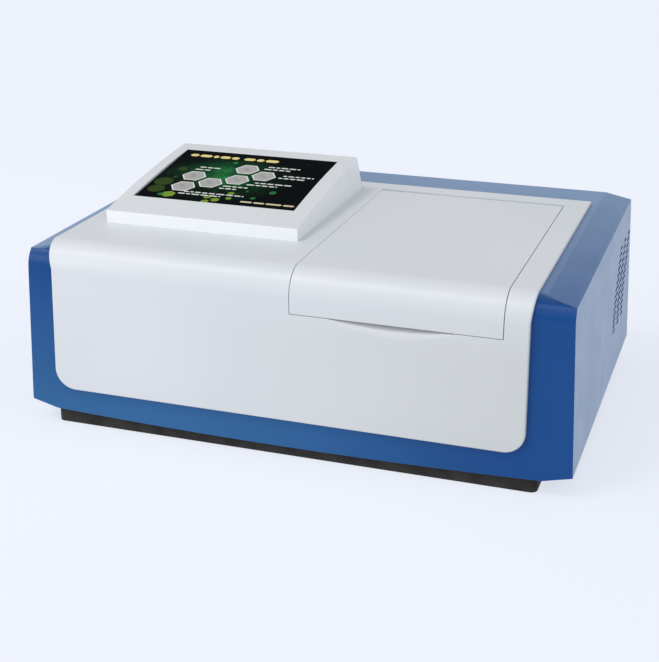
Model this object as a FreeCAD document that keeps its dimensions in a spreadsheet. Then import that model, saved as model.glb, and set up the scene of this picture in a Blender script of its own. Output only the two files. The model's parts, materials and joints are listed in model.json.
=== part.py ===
import FreeCAD, Part
import math
import os
import re
import Sketcher

Vector = FreeCAD.Vector

# Benchtop spectrophotometer. Frame: origin under the middle of the case at bench level,
# +X to the right of a person facing the front, +Y to the rear, +Z up. Millimetres.

DIMENSIONS = {
    # case
    "body_width": 508, "top_width": 496, "overall_depth": 350, "body_top": 174, "body_bottom": 14.5,
    "bevel_width": 26, "bevel_drop": 5.3, "bevel_rise": 6.5, "apron_sag": 4.5, "case_wall": 2.5,
    "top_round": 20, "opening_left": 205, "opening_right": 200, "opening_sill": 64,
    "opening_back": 112, "bottom_lip": 2.5,
    "vent_long": 21, "vent_end_long": 13, "vent_tall": 3, "vent_pitch": 5.5, "vent_column_pitch": 27,
    "vent_front": 66, "vent_low": 64, "vent_lean": 30, "vent_slope": 13.5, "vent_wave": 2.5,
    # plinth under the case
    "base_left": 230.5, "base_right": 224, "base_front": 166.5, "base_back": 165,
    "foot_height": 3, "skirt_gap": 0.5, "foot_radius": 12, "foot_draft": 1,
    "base_floor": 2.5, "base_wall": 3, "base_corner": 6,
    "boss_x": 170, "boss_y": 110, "boss_radius": 6, "foot_x": 195, "foot_y": 138,
    "chassis_half": 215, "chassis_thick": 5, "screw_radius": 2, "head_radius": 3.8,
    "head_height": 2.2, "screw_slack": 0.2,
    # wrap-around fascia
    "fascia_proud": 5, "fascia_top": 177.2, "fascia_back": 125, "fascia_bottom": 37.3,
    "fascia_round": 24, "fascia_corner": 19, "fascia_left_top": 229.6, "fascia_left": 222.8,
    "fascia_left_low": 225.6, "fascia_right_top": 215.2, "fascia_right": 212.8,
    "fascia_right_low": 213.3, "shoulder_height": 154, "scoop_centre": 96,
    "scoop_half": 58, "scoop_deep": 11.5, "scoop_depth": 3.8, "crease_height": 55.5, "crease_lean": 1,
    "fascia_spare": 5, "cable_left": 140, "cable_right": 80, "cable_half": 20,
    # sample compartment lid
    "lid_left": 6.2, "lid_right": 191.2, "lid_back": 103, "lid_bottom": 139,
    "lid_wall": 3.5, "lid_seam": 0.6, "hinge_radius": 7, "knuckle_radius": 4.2, "pin_radius": 1.5,
    "pin_slack": 0.05, "skirt_wall": 2.5, "skirt_bottom": 165, "skirt_front": 140,
    "knuckle_width": 12, "knuckle_inset": 34, "knuckle_gap": 0.3, "pin_inset": 1,
    "bracket_inset": 0.6, "bracket_thick": 1.5,
    # sample chamber
    "tub_left": 17, "tub_right": 181, "tub_front": 152, "tub_back": 82, "tub_wall": 3,
    "tub_bottom": 66, "flange_top": 161, "flange_thick": 2.5, "flange_left": 0,
    "flange_right": 198, "flange_front": 166, "flange_back": 108, "apron_bottom": 119,
    "rim_top": 173.7, "beam_y": -35, "beam_z": 109, "window_radius": 8,
    "liner_thick": 2, "liner_top": 164.5, "trap_drop": 10, "trap_inset": 3, "trap_wall": 2,
    "seal_width": 8, "seal_gap": 0.3, "post_x": 60, "post_y": 80, "post_radius": 5,
    "rim_start": 6, "leg_inset_x": 7, "leg_inset_y": 10, "window_thick": 2, "liner_gap": 2,
    "liner_overlap": 4, "magnet_y": 120, "magnet_inset": 3, "magnet_wide": 8, "magnet_long": 12,
    "magnet_thick": 4, "sensor_gap": 3, "sensor_wide": 11, "sensor_long": 14, "sensor_tall": 6,
    # cell changer
    "cell_count": 5, "cell_pitch": 18, "cell_size": 12.6, "rack_width": 20, "rack_bottom": 92,
    "rack_top": 132, "cell_floor": 94, "aperture_width": 5, "aperture_height": 16,
    "changer_x": 99, "rod_spread": 21, "rod_radius": 4, "rod_z": 80, "bush_slack": 0.05,
    "slide_half": 29, "slide_bottom": 74, "rail_thick": 3, "rail_front": 130, "rail_back": 66,
    "rail_plate": 6, "nut_radius": 8, "nut_long": 16, "motor_size": 42, "motor_long": 36,
    "motor_front": 82, "rail_margin": 8, "screw_clearance": 1, "shaft_in_motor": 10,
    "collar_gap": 2, "collar_wall": 3, "collar_long": 6,
    # optics
    "bench_bottom": 28, "bench_top": 36, "mono_left": 190, "mono_right": 10,
    "mono_front": 140, "mono_back": 20, "mono_wall": 4, "mono_floor": 58, "mono_top": 129,
    "slit_x": 160, "slit_gap": 0.8, "grating_x": 100, "grating_y": 15, "table_radius": 18,
    "table_thick": 5, "shaft_radius": 2.5, "grating_size": 30, "grating_thick": 6,
    "mirror_radius": 18, "mirror_thick": 8, "wheel_radius": 32, "wheel_orbit": 22,
    "wheel_y": 28, "wheel_thick": 3, "filter_radius": 6.5, "filter_count": 6,
    "mirror_x": 45, "mirror_y": 128, "lamp_house_left": 122, "lamp_house_right": 62,
    "lamp_house_front": 52, "lamp_house_back": 143, "lamp_house_top": 149,
    "bench_margin": 15, "bench_gap": 5, "bench_lip": 8, "bench_leg_radius": 8,
    "bench_leg_x": 90, "bench_leg_y": 120, "beam_port": 6, "cover_thick": 3,
    "slit_thick": 1.5, "slit_half_wide": 10, "slit_half_tall": 12, "slit_half_open": 4,
    "mount_half": 12, "mount_thick": 4, "mount_gap": 6, "table_gap": 2, "shaft_drop": 8,
    "grating_lead": 1, "grating_back": 4, "grating_motor_half": 17, "motor_clearance": 2,
    "fold_x": 30, "fold_half": 12, "fold_thick": 4, "fold_below": 16, "fold_above": 14,
    "fold_foot_half": 8, "fold_foot_deep": 8, "wheel_shaft_long": 14, "filter_motor_half": 14,
    "filter_motor_gap": 5, "filter_motor_long": 20, "filter_stand": 6,
    # light source and detector
    "source_y": 85, "source_half": 13, "source_thick": 6, "source_below": 22, "source_above": 18,
    "turret_radius": 9, "turret_tall": 7, "source_shaft_drop": 16, "source_motor_half": 13,
    "source_motor_drop": 40, "lamp_x": 92, "lamp_y": 75, "tungsten_y": 120,
    "deuterium_base": 14, "deuterium_base_tall": 28, "deuterium_radius": 12, "deuterium_tall": 58,
    "tungsten_base": 9, "tungsten_base_tall": 50, "tungsten_radius": 6, "tungsten_tall": 30,
    "lamp_wall": 2, "lamp_port": 9, "lamp_slot_start": 15, "lamp_slot_pitch": 14,
    "lamp_slot_wide": 5, "lamp_slot_inset": 12,
    "detector_long": 34, "detector_half": 18, "detector_foot_start": 8, "detector_foot_long": 20,
    "detector_foot_half": 10, "diode_radius": 7, "diode_depth": 24, "diode_thick": 3,
    "board_thick": 1.6, "preamp_half": 25,
    # main board and power supply
    "board_z": 30, "board_left": 32, "board_right": 168, "board_front": 125, "board_back": 60,
    "stud_radius": 3, "stud_inset_x": 8, "stud_inset_y": 7.5,
    "supply_left": 126, "supply_right": 212, "supply_front": 88, "supply_back": 134,
    "supply_tall": 55,
    # console with the screen
    "console_left": 206.8, "console_right": 15.5, "console_front": 94.5, "lip_top": 189,
    "crest_y": 84.5, "crest_z": 212.8, "console_back": 102.8, "arch_radius": 1440,
    "console_wall": 3, "glass_left": 195.2, "glass_right": 31.5, "glass_front": 60.2,
    "glass_long": 127.4, "glass_thick": 2, "glass_low": 194.1, "glass_tilt": 7.7, "glass_gap": 0.2,
    "console_corner": 4, "lip_lift": 0.6, "screen_cut_below": 8, "screen_cut_above": 12,
    "display_inset": 2, "display_thick": 4, "display_board_left": 170, "display_board_right": 60,
    "display_board_front": 30, "display_board_back": 70, "display_board_gap": 1,
    # rear panel and what is fixed to it
    "panel_y": 170, "panel_thick": 2, "fan_x": 100, "fan_z": 84, "fan_size": 80,
    "fan_deep": 25, "fan_bore": 37.5, "hub_radius": 16, "inlet_x": 205, "switch_x": 160,
    "port_x": 110, "rear_row_z": 54, "panel_gap": 0.2, "port_slack": 0.1,
    "rear_slot_left": 120, "rear_slot_right": 210, "rear_slot_low": 110, "rear_slot_pitch": 7,
    "rear_slot_tall": 3, "rear_screw_x": 235, "rear_screw_low": 40, "rear_screw_high": 156,
    "rear_screw_radius": 1.5, "rear_screw_slack": 0.1, "rear_head_radius": 3, "rear_head_top": 2.2,
    "rear_head_tall": 2, "rear_screw_long": 6,
    "fan_plate": 3, "fan_pin_long": 12, "fan_arm_wide": 5, "fan_arm_lap": 2, "rotor_gap": 2,
    "blade_gap": 3, "blade_thick": 2, "blade_chord": 18, "guard_margin": 1, "guard_pitch": 8,
    "guard_wire": 1.6, "guard_arm_inner": 12, "guard_arm_wide": 2,
    "inlet_wide": 13.8, "inlet_tall": 12, "inlet_room_wide": 12, "inlet_room_tall": 8.2,
    "inlet_depth": 20, "inlet_back": 24, "inlet_rim": 2, "inlet_rim_wide": 17,
    "inlet_rim_tall": 14.5, "contact_spread": 7, "contact_raise": 2, "contact_drop": 1,
    "contact_thick": 2, "contact_tall": 4, "contact_back": 16, "contact_front": 1,
    "switch_shell": 1.9, "switch_rim": 4, "switch_rim_thick": 1.5, "switch_back": 22,
    "switch_depth": 16, "rocker_width": 12.6, "rocker_height": 20, "rocker_side_gap": 0.3,
    "rocker_end_gap": 0.5, "rocker_pivot": 3, "trunnion_radius": 1.5, "trunnion_long": 1.2,
    "rocker_inset": 1, "rocker_back": 4, "rocker_shoulder": 1, "rocker_horn": 6.5,
    "rocker_waist": 5, "rocker_chamfer": 2,
    "usb_offset": 10, "usb_wide": 6.4, "usb_tall": 2.9, "serial_offset": 12, "serial_wide": 9.9,
    "serial_tall": 5.4, "port_wall": 0.5, "port_face": 1, "port_back": 16, "port_depth": 12,
}


def start_document():
    """Open the document and fill the sheet with the driving dimensions."""
    new = FreeCAD.newDocument("spectrophotometer")
    cells = new.addObject("Spreadsheet::Sheet", "dim")
    for row, (alias, size) in enumerate(DIMENSIONS.items(), start=1):
        cell = f"A{row}"
        cells.set(cell, str(size))
        cells.setAlias(cell, alias)
    new.recompute()
    return new, cells


doc, sheet = start_document()
nodes = {}


def formula(text):
    """Turn names of dimensions into references to the sheet."""
    return re.sub(r"[a-z_]{3,}", lambda word: "dim." + word.group(0), str(text))


def size_of(text):
    """Number that a formula of named dimensions comes to."""
    return float(sheet.evalExpression(formula(text)))


def bind(thing, **formulas):
    """Bind properties of an object to formulas; a double underscore stands for a dot."""
    for name, text in formulas.items():
        thing.setExpression(name.replace("__", "."), formula(text))
    return thing


def as_node(thing, label):
    """Give an object its label and list it as a sub-part of its own."""
    thing.Label = label
    nodes[label] = thing
    return thing


# ---------------------------------------------------------------- solids

TURNS = {
    "X": FreeCAD.Rotation(Vector(0, 1, 0), 90),
    "Y": FreeCAD.Rotation(Vector(1, 0, 0), -90),
    "Z": FreeCAD.Rotation(),
}


def block(name, x, y, z):
    """Box between a low and a high formula on each axis."""
    box = doc.addObject("Part::Box", name)
    bind(box, Length=f"({x[1]})-({x[0]})", Width=f"({y[1]})-({y[0]})", Height=f"({z[1]})-({z[0]})",
         Placement__Base__x=x[0], Placement__Base__y=y[0], Placement__Base__z=z[0])
    return box


def rod(name, axis, start, radius, length):
    """Cylinder from a start point along +X, +Y or +Z."""
    cylinder = doc.addObject("Part::Cylinder", name)
    cylinder.Placement = FreeCAD.Placement(Vector(), TURNS[axis])
    bind(cylinder, Radius=radius, Height=length, Placement__Base__x=start[0],
         Placement__Base__y=start[1], Placement__Base__z=start[2])
    return cylinder


def taper(name, axis, start, first_radius, last_radius, length):
    """Cone or frustum from a start point along +X, +Y or +Z."""
    cone = doc.addObject("Part::Cone", name)
    cone.Placement = FreeCAD.Placement(Vector(), TURNS[axis])
    bind(cone, Radius1=first_radius, Radius2=last_radius, Height=length,
         Placement__Base__x=start[0], Placement__Base__y=start[1], Placement__Base__z=start[2])
    return cone


def turned(name, pieces, pivot, degrees, axis=Vector(0, 0, 1)):
    """Pieces built round the origin, turned about an axis and moved to the pivot."""
    swung = doc.addObject("Part::Compound", name)
    swung.Links = [pieces[0] if len(pieces) == 1 else join(name + "_whole", pieces)]
    doc.recompute()
    place = Vector(*(size_of(text) for text in pivot))
    swung.Placement = FreeCAD.Placement(place, FreeCAD.Rotation(axis, degrees))
    return swung


def join(name, pieces):
    """One solid made of pieces that touch or overlap."""
    fused = doc.addObject("Part::MultiFuse", name)
    fused.Shapes = pieces
    return fused


def cut(name, base, tools):
    """Base with the tools taken away. A tool that opens a face reaches 1 mm past it."""
    tool = tools[0] if len(tools) == 1 else group(name + "_tools", tools)
    cut_off = doc.addObject("Part::Cut", name)
    cut_off.Base = base
    cut_off.Tool = tool
    return cut_off


def group(name, pieces):
    """Separate solids kept side by side under one name."""
    compound = doc.addObject("Part::Compound", name)
    compound.Links = pieces
    return compound


# ---------------------------------------------------------------- sketches and features

PLANES = {"XY": "XY_Plane", "XZ": "XZ_Plane", "YZ": "YZ_Plane"}


def body_of(label):
    """Empty body for a sub-part made from sketches."""
    return doc.addObject("PartDesign::Body", label)


def sketch_on(body, name, plane, level):
    """Sketch on a plane of the body's own origin, moved to a level on the third axis."""
    sketch = body.newObject("Sketcher::SketchObject", name)
    support = [item for item in body.Origin.OriginFeatures if item.Role == PLANES[plane]][0]
    sketch.AttachmentSupport = [(support, "")]
    sketch.MapMode = "FlatFace"
    offset = f"-({level})" if plane == "XZ" else level
    sketch.setExpression("AttachmentOffset.Base.z", formula(offset))
    return sketch


def arc_between(start, end, radius):
    """Arc from start to end; a positive radius turns left, a negative one turns right."""
    span = end - start
    reach = math.sqrt(max(radius * radius - span.Length ** 2 / 4, 0))
    side = Vector(-span.y, span.x, 0).normalize() * math.copysign(reach, radius)
    centre = (start + end) / 2 + side
    first, last = (start, end) if radius > 0 else (end, start)
    angles = [math.atan2(point.y - centre.y, point.x - centre.x) for point in (first, last)]
    circle = Part.Circle(centre, Vector(0, 0, 1), abs(radius))
    return Part.ArcOfCircle(circle, angles[0], angles[1] + (2 * math.pi if angles[1] < angles[0] else 0))


def draw(sketch, points):
    """Closed outline through points bound to formulas; a third entry bends the line that follows."""
    places = [Vector(size_of(point[0]), size_of(point[1]), 0) for point in points]
    ends = []
    for index, point in enumerate(points):
        start, end = places[index], places[(index + 1) % len(points)]
        if len(point) > 2:
            line = sketch.addGeometry(arc_between(start, end, size_of(point[2])), False)
            ends.append((line, 1, 2) if size_of(point[2]) > 0 else (line, 2, 1))
        else:
            line = sketch.addGeometry(Part.LineSegment(start, end), False)
            ends.append((line, 1, 2))
    for index, (line, first, last) in enumerate(ends):
        following = ends[(index + 1) % len(ends)]
        sketch.addConstraint(Sketcher.Constraint("Coincident", line, last, following[0], following[1]))
        for kind, place, text in (("DistanceX", places[index].x, points[index][0]),
                                  ("DistanceY", places[index].y, points[index][1])):
            number = sketch.addConstraint(Sketcher.Constraint(kind, -1, 1, line, first, place))
            sketch.setExpression(f"Constraints[{number}]", formula(text))
        if len(points[index]) > 2:
            radius = points[index][2]
            number = sketch.addConstraint(Sketcher.Constraint("Radius", line, abs(size_of(radius))))
            sketch.setExpression(f"Constraints[{number}]", "abs(" + formula(radius) + ")")


def draw_circle(sketch, centre, radius):
    """Circle bound to formulas."""
    place = Vector(size_of(centre[0]), size_of(centre[1]), 0)
    circle = sketch.addGeometry(Part.Circle(place, Vector(0, 0, 1), size_of(radius)), False)
    for kind, value, text in (("DistanceX", place.x, centre[0]), ("DistanceY", place.y, centre[1])):
        number = sketch.addConstraint(Sketcher.Constraint(kind, -1, 1, circle, 3, value))
        sketch.setExpression(f"Constraints[{number}]", formula(text))
    number = sketch.addConstraint(Sketcher.Constraint("Radius", circle, size_of(radius)))
    sketch.setExpression(f"Constraints[{number}]", formula(radius))


def prism(body, kind, name, plane, span, outlines=(), circles=()):
    """Pad or pocket of outlines over a span of the axis that the plane leaves free."""
    low, high = span
    padding = kind == "PartDesign::Pad"
    level = low if padding != (plane == "XZ") else high
    sketch = sketch_on(body, name + "_sketch", plane, level)
    for points in outlines:
        draw(sketch, points)
    for x, y, radius in circles:
        draw_circle(sketch, (x, y), radius)
    doc.recompute()
    before = 0 if body.Tip is None else body.Shape.Volume
    feature = body.newObject(kind, name)
    feature.Profile = sketch
    feature.setExpression("Length", formula(f"({high})-({low})"))
    doc.recompute()
    if padding == (body.Shape.Volume <= before):
        raise RuntimeError(name + " changed nothing")
    return feature


def pad(body, name, plane, span, outlines=(), circles=()):
    return prism(body, "PartDesign::Pad", name, plane, span, outlines, circles)


def pocket(body, name, plane, span, outlines=(), circles=()):
    return prism(body, "PartDesign::Pocket", name, plane, span, outlines, circles)


def rectangle(x_low, x_high, y_low, y_high):
    return [(x_low, y_low), (x_high, y_low), (x_high, y_high), (x_low, y_high)]


def fillet(body, name, radius, chosen):
    """Round the edges of the body whose middle and direction the test accepts."""
    doc.recompute()
    names = []
    for number, edge in enumerate(body.Tip.Shape.Edges, start=1):
        run = edge.Vertexes[-1].Point - edge.Vertexes[0].Point
        if run.Length > 0 and chosen(edge.CenterOfMass, run.normalize()):
            names.append(f"Edge{number}")
    feature = body.newObject("PartDesign::Fillet", name)
    feature.Base = (feature.BaseFeature or body.Tip, names)
    feature.setExpression("Radius", formula(radius))
    doc.recompute()
    return feature


# ---------------------------------------------------------------- shared places

HALF = "body_width/2"
TOP_HALF = "top_width/2"
FACE = "(-overall_depth/2)"
FRONT = "(-overall_depth/2+fascia_proud)"
BACK = "(overall_depth/2)"
CHASSIS = "(body_bottom+chassis_thick)"
HINGE_Y = "(lid_back-hinge_radius)"
HINGE_Z = "(fascia_top-hinge_radius)"
SIGNS = (-1, 1)
CORNERS = [(side, end) for side in SIGNS for end in SIGNS]


def upright(middle, run):
    return abs(run.z) > 0.99


# ---------------------------------------------------------------- case

def make_base_tray():
    """Black plinth: a shallow tray whose skirt hides the feet, with four bosses for screws."""
    body = body_of("base_tray")
    edge = rectangle("-base_left", "base_right", "-base_front", "base_back")
    pad(body, "tray_block", "XY", ("skirt_gap", "body_bottom"), [edge])
    fillet(body, "tray_corners", "base_corner", upright)
    inside = rectangle("-base_left+base_wall", "base_right-base_wall",
                       "-base_front+base_wall", "base_back-base_wall")
    pocket(body, "tray_inside", "XY", ("foot_height+base_floor", "body_bottom"), [inside])
    pocket(body, "tray_underside", "XY", ("skirt_gap", "foot_height"), [inside])
    spots = [(f"{side}*boss_x", f"{end}*boss_y") for side, end in CORNERS]
    pad(body, "tray_bosses", "XY", ("foot_height", "body_bottom"),
        circles=[(x, y, "boss_radius") for x, y in spots])
    pocket(body, "tray_holes", "XY", ("foot_height", "body_bottom"),
           circles=[(x, y, "screw_radius+screw_slack") for x, y in spots])
    return as_node(body, "base_tray")


def make_rubber_feet():
    feet = [taper(f"foot_{side}_{end}", "Z", (f"{side}*foot_x", f"{end}*foot_y", "0"),
                  "foot_radius-foot_draft", "foot_radius", "foot_height") for side, end in CORNERS]
    return as_node(group("feet", feet), "rubber_feet")


def make_base_screws():
    screws = []
    for side, end in CORNERS:
        x, y = f"{side}*boss_x", f"{end}*boss_y"
        head = rod(f"head_{side}_{end}", "Z", (x, y, "foot_height-head_height"),
                   "head_radius", "head_height")
        shank = rod(f"shank_{side}_{end}", "Z", (x, y, "foot_height"), "screw_radius",
                    "body_bottom-foot_height+chassis_thick")
        screws.append(join(f"screw_{side}_{end}", [head, shank]))
    return as_node(group("screws", screws), "base_screws")


def make_chassis_plate():
    """Aluminium plate that carries the optics, the chamber and the electronics."""
    body = body_of("chassis_plate")
    edge = rectangle("-chassis_half", "chassis_half", "-base_front+base_wall", "base_back-base_wall")
    pad(body, "chassis_block", "XY", ("body_bottom", CHASSIS), [edge])
    spots = [(f"{side}*boss_x", f"{end}*boss_y", "screw_radius") for side, end in CORNERS]
    pocket(body, "chassis_holes", "XY", ("body_bottom", CHASSIS), circles=spots)
    return as_node(body, "chassis_plate")


def mirrored(right):
    """Outline closed by the mirror image of its right half."""
    return right + [(f"-({x})", z) for x, z in reversed(right)]


def section():
    """Eight-sided front outline of the case: splayed sides and shallow bevels along its long edges."""
    return mirrored([(f"{HALF}-bevel_width", "body_bottom"), (HALF, "body_bottom+bevel_rise"),
                     (TOP_HALF, "body_top-bevel_drop"), (f"{TOP_HALF}-bevel_width", "body_top")])


def inside_section(top):
    """Inner outline of the case, open downwards between its turned-in lips."""
    lip = f"{HALF}-bevel_width-bottom_lip"
    right = [(lip, "body_bottom-1"), (lip, "body_bottom+case_wall"),
             (f"{HALF}-bevel_width", "body_bottom+case_wall"),
             (f"{HALF}-case_wall", "body_bottom+bevel_rise+case_wall")]
    if top == "body_top-case_wall":
        right += [(f"{TOP_HALF}-case_wall", f"{top}-bevel_drop"), (f"{TOP_HALF}-bevel_width", top)]
    else:
        right += [(f"{TOP_HALF}-case_wall", top)]
    return mirrored(right)


VENT_COLUMNS = 3
VENT_ROWS = 14


def vent_slots():
    """Three leaning, slightly wavy columns of slots in the right wall, longest at mid height."""
    slots = []
    for column in range(VENT_COLUMNS):
        for row in range(VENT_ROWS):
            share = row / (VENT_ROWS - 1)
            wave = math.sin(share * 2 * math.pi)
            swell = math.sin(share * math.pi)
            y = (f"vent_front+{column}*vent_column_pitch+vent_lean*{share * share:.4f}"
                 f"+vent_slope*{share:.4f}-vent_wave*({wave:.4f})")
            half = f"(vent_end_long+(vent_long-vent_end_long)*{swell:.4f})/2"
            z = f"vent_low+{row}*vent_pitch"
            slots.append(block(f"vent_{column}_{row}", (f"{TOP_HALF}-2*case_wall", f"{HALF}+case_wall"),
                               (f"{y}-{half}", f"{y}+{half}"), (z, f"{z}+vent_tall")))
    return slots


def make_housing():
    """Blue cover: bevelled section, rounded top front edge, bowed lower front, open below and behind."""
    body = body_of("housing_shell")
    pad(body, "housing_block", "XZ", (FRONT, BACK), [section()])
    corner = [(f"{FRONT}-1", "body_top-top_round"), (FRONT, "body_top-top_round", "-top_round"),
              (f"{FRONT}+top_round", "body_top"), (f"{FRONT}+top_round", "body_top+1"),
              (f"{FRONT}-1", "body_top+1")]
    pocket(body, "housing_round", "YZ", (f"-{HALF}-1", f"{HALF}+1"), [corner])
    pocket(body, "housing_inside", "XZ", (f"{FRONT}+top_round", f"{BACK}+1"),
           [inside_section("body_top-case_wall")])
    pocket(body, "housing_inside_front", "XZ", (f"{FRONT}+case_wall", f"{FRONT}+top_round"),
           [inside_section("body_top-top_round")])
    crown = [(f"{FRONT}+case_wall", "body_top-top_round", "-(top_round-case_wall)"),
             (f"{FRONT}+top_round", "body_top-case_wall"), (f"{FRONT}+top_round", "body_top-top_round")]
    pocket(body, "housing_inside_round", "YZ", (f"-({TOP_HALF}-bevel_width)", f"{TOP_HALF}-bevel_width"),
           [crown])
    pocket(body, "housing_opening", "XZ", (f"{FRONT}-1", "opening_back"),
           [rectangle("-opening_left", "opening_right", "opening_sill", "body_top+1")])
    reach = f"({HALF}-bevel_width)"
    apron = [(f"-{reach}", "body_bottom", f"(({reach}*{reach}+apron_sag*apron_sag)/(2*apron_sag))"),
             (reach, "body_bottom"), (reach, "body_bottom+1"), (f"-{reach}", "body_bottom+1")]
    pad(body, "housing_apron", "XZ", (FRONT, f"{FRONT}+case_wall"), [apron])
    return as_node(cut("housing_vented", body, vent_slots()), "housing")


def wrap_band(name, body, x_span, outer, inner, bottom, back, foot):
    """Band that rises from its foot points up the front, round the top edge and back over the top."""
    out_y, out_z, out_r = outer
    in_y, in_z, in_r = inner
    inner_side = [(in_y, bottom), (in_y, f"{in_z}-({in_r})", f"-({in_r})"),
                  (f"{in_y}+{in_r}", in_z), (back, in_z)]
    outer_side = [(back, out_z), (f"{out_y}+{out_r}", out_z, out_r), (out_y, f"{out_z}-{out_r}")]
    band = foot + inner_side + outer_side
    return pad(body, name, "YZ", x_span, [band])


def make_fascia():
    """White wrap-around panel, proud of the case, with the lid opening and the finger scoop."""
    body = body_of("fascia_panel")
    foot = [(FACE, "crease_height"), (f"{FACE}+crease_lean", "fascia_bottom")]
    wrap_band("fascia_band", body, ("-fascia_left_top-fascia_spare", "fascia_right_top+fascia_spare"),
              (FACE, "fascia_top", "fascia_round"), (FRONT, "body_top", "top_round"),
              "fascia_bottom", "fascia_back", foot)
    left_low = "-fascia_left_low"
    edge = [(f"{left_low}+fascia_corner", "fascia_bottom"),
            ("fascia_right_low-fascia_corner", "fascia_bottom", "fascia_corner"),
            ("fascia_right_low", "fascia_bottom+fascia_corner"),
            ("fascia_right", "shoulder_height"), ("fascia_right_top", "fascia_top+1"),
            ("-fascia_left_top", "fascia_top+1"), ("-fascia_left", "shoulder_height"),
            (left_low, "fascia_bottom+fascia_corner", "fascia_corner")]
    beyond = rectangle("-fascia_left_top-2*fascia_spare", "fascia_right_top+2*fascia_spare",
                       "fascia_bottom-fascia_spare", "fascia_top+fascia_spare")
    pocket(body, "fascia_edge_cut", "XZ", (f"{FACE}-1", "fascia_back+1"), [beyond, edge])
    mouth = rectangle("lid_left-lid_seam", "lid_right+lid_seam", f"{FACE}-1", "lid_back+lid_seam")
    pocket(body, "fascia_mouth", "XY", ("lid_bottom-lid_seam", "fascia_top+1"), [mouth])
    pocket(body, "fascia_cable_hole", "XY", ("body_top-1", "fascia_top+1"),
           [rectangle("-cable_left", "-cable_right", "-cable_half", "cable_half")])
    radius = "((scoop_half*scoop_half+scoop_deep*scoop_deep)/(2*scoop_deep))"
    bowl = taper("scoop_bowl", "Y", ("scoop_centre", FACE, f"lid_bottom-scoop_deep+{radius}"),
                 radius, f"{radius}-scoop_deep", "scoop_depth")
    band = block("scoop_band", ("0", "lid_right"), (f"{FACE}-1", FRONT), ("fascia_bottom", "lid_bottom"))
    scoop = doc.addObject("Part::Common", "scoop")
    scoop.Base = bowl
    scoop.Tool = band
    return as_node(cut("fascia_scooped", body, [scoop]), "fascia")


REAR_SLOTS = 6


def rear_window(name, x, half_wide, half_tall):
    """Opening through the rear panel round a connector, with slack on every side."""
    return block(name, (f"{x}-{half_wide}-port_slack", f"{x}+{half_wide}+port_slack"),
                 ("panel_y-1", "panel_y+panel_thick+1"),
                 (f"rear_row_z-{half_tall}-port_slack", f"rear_row_z+{half_tall}+port_slack"))


def rear_cutouts():
    thick = ("panel_y-1", "panel_y+panel_thick+1")
    tools = [rod("fan_hole", "Y", ("-fan_x", thick[0], "fan_z"), "fan_bore", "panel_thick+2"),
             rear_window("inlet_hole", "inlet_x", "inlet_wide", "inlet_tall"),
             rear_window("switch_hole", "switch_x", "(rocker_width/2+switch_shell)",
                         "(rocker_height/2+switch_shell)"),
             rear_window("usb_hole", "port_x-usb_offset", "usb_wide", "usb_tall"),
             rear_window("serial_hole", "port_x+serial_offset", "serial_wide", "serial_tall")]
    for number in range(REAR_SLOTS):
        z = f"rear_slot_low+{number}*rear_slot_pitch"
        tools.append(block(f"rear_slot_{number}", ("rear_slot_left", "rear_slot_right"), thick,
                           (z, f"{z}+rear_slot_tall")))
    return tools


REAR_SCREWS = [(x, z) for x in ("-rear_screw_x", "0", "rear_screw_x")
               for z in ("rear_screw_low", "rear_screw_high")]


def make_rear_panel():
    body = body_of("rear_sheet")
    top = "body_top-case_wall-panel_gap"
    low = "body_bottom+case_wall+panel_gap"
    edge = mirrored([(f"{HALF}-bevel_width-bottom_lip-panel_gap", low), (f"{HALF}-bevel_width", low),
                     (f"{HALF}-case_wall-panel_gap", f"{low}+bevel_rise"),
                     (f"{TOP_HALF}-case_wall-panel_gap", f"{top}-bevel_drop"),
                     (f"{TOP_HALF}-bevel_width", top)])
    pad(body, "rear_plate", "XZ", ("panel_y", "panel_y+panel_thick"), [edge])
    pocket(body, "rear_screw_holes", "XZ", ("panel_y", "panel_y+panel_thick"),
           circles=[(x, z, "rear_screw_radius+rear_screw_slack") for x, z in REAR_SCREWS])
    return as_node(cut("rear_panel_open", body, rear_cutouts()), "rear_panel")


def make_rear_screws():
    screws = []
    for number, (x, z) in enumerate(REAR_SCREWS):
        head = taper(f"rear_head_{number}", "Y", (x, "panel_y+panel_thick", z), "rear_head_radius",
                     "rear_head_top", "rear_head_tall")
        shank = rod(f"rear_shank_{number}", "Y", (x, "panel_y-rear_screw_long", z), "rear_screw_radius",
                    "panel_thick+rear_screw_long")
        screws.append(join(f"rear_screw_{number}", [head, shank]))
    return as_node(group("rear_screw_group", screws), "rear_screws")


# ---------------------------------------------------------------- lid

KNUCKLES = ("lid_left+knuckle_inset", "lid_right-knuckle_inset-knuckle_width")


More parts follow.
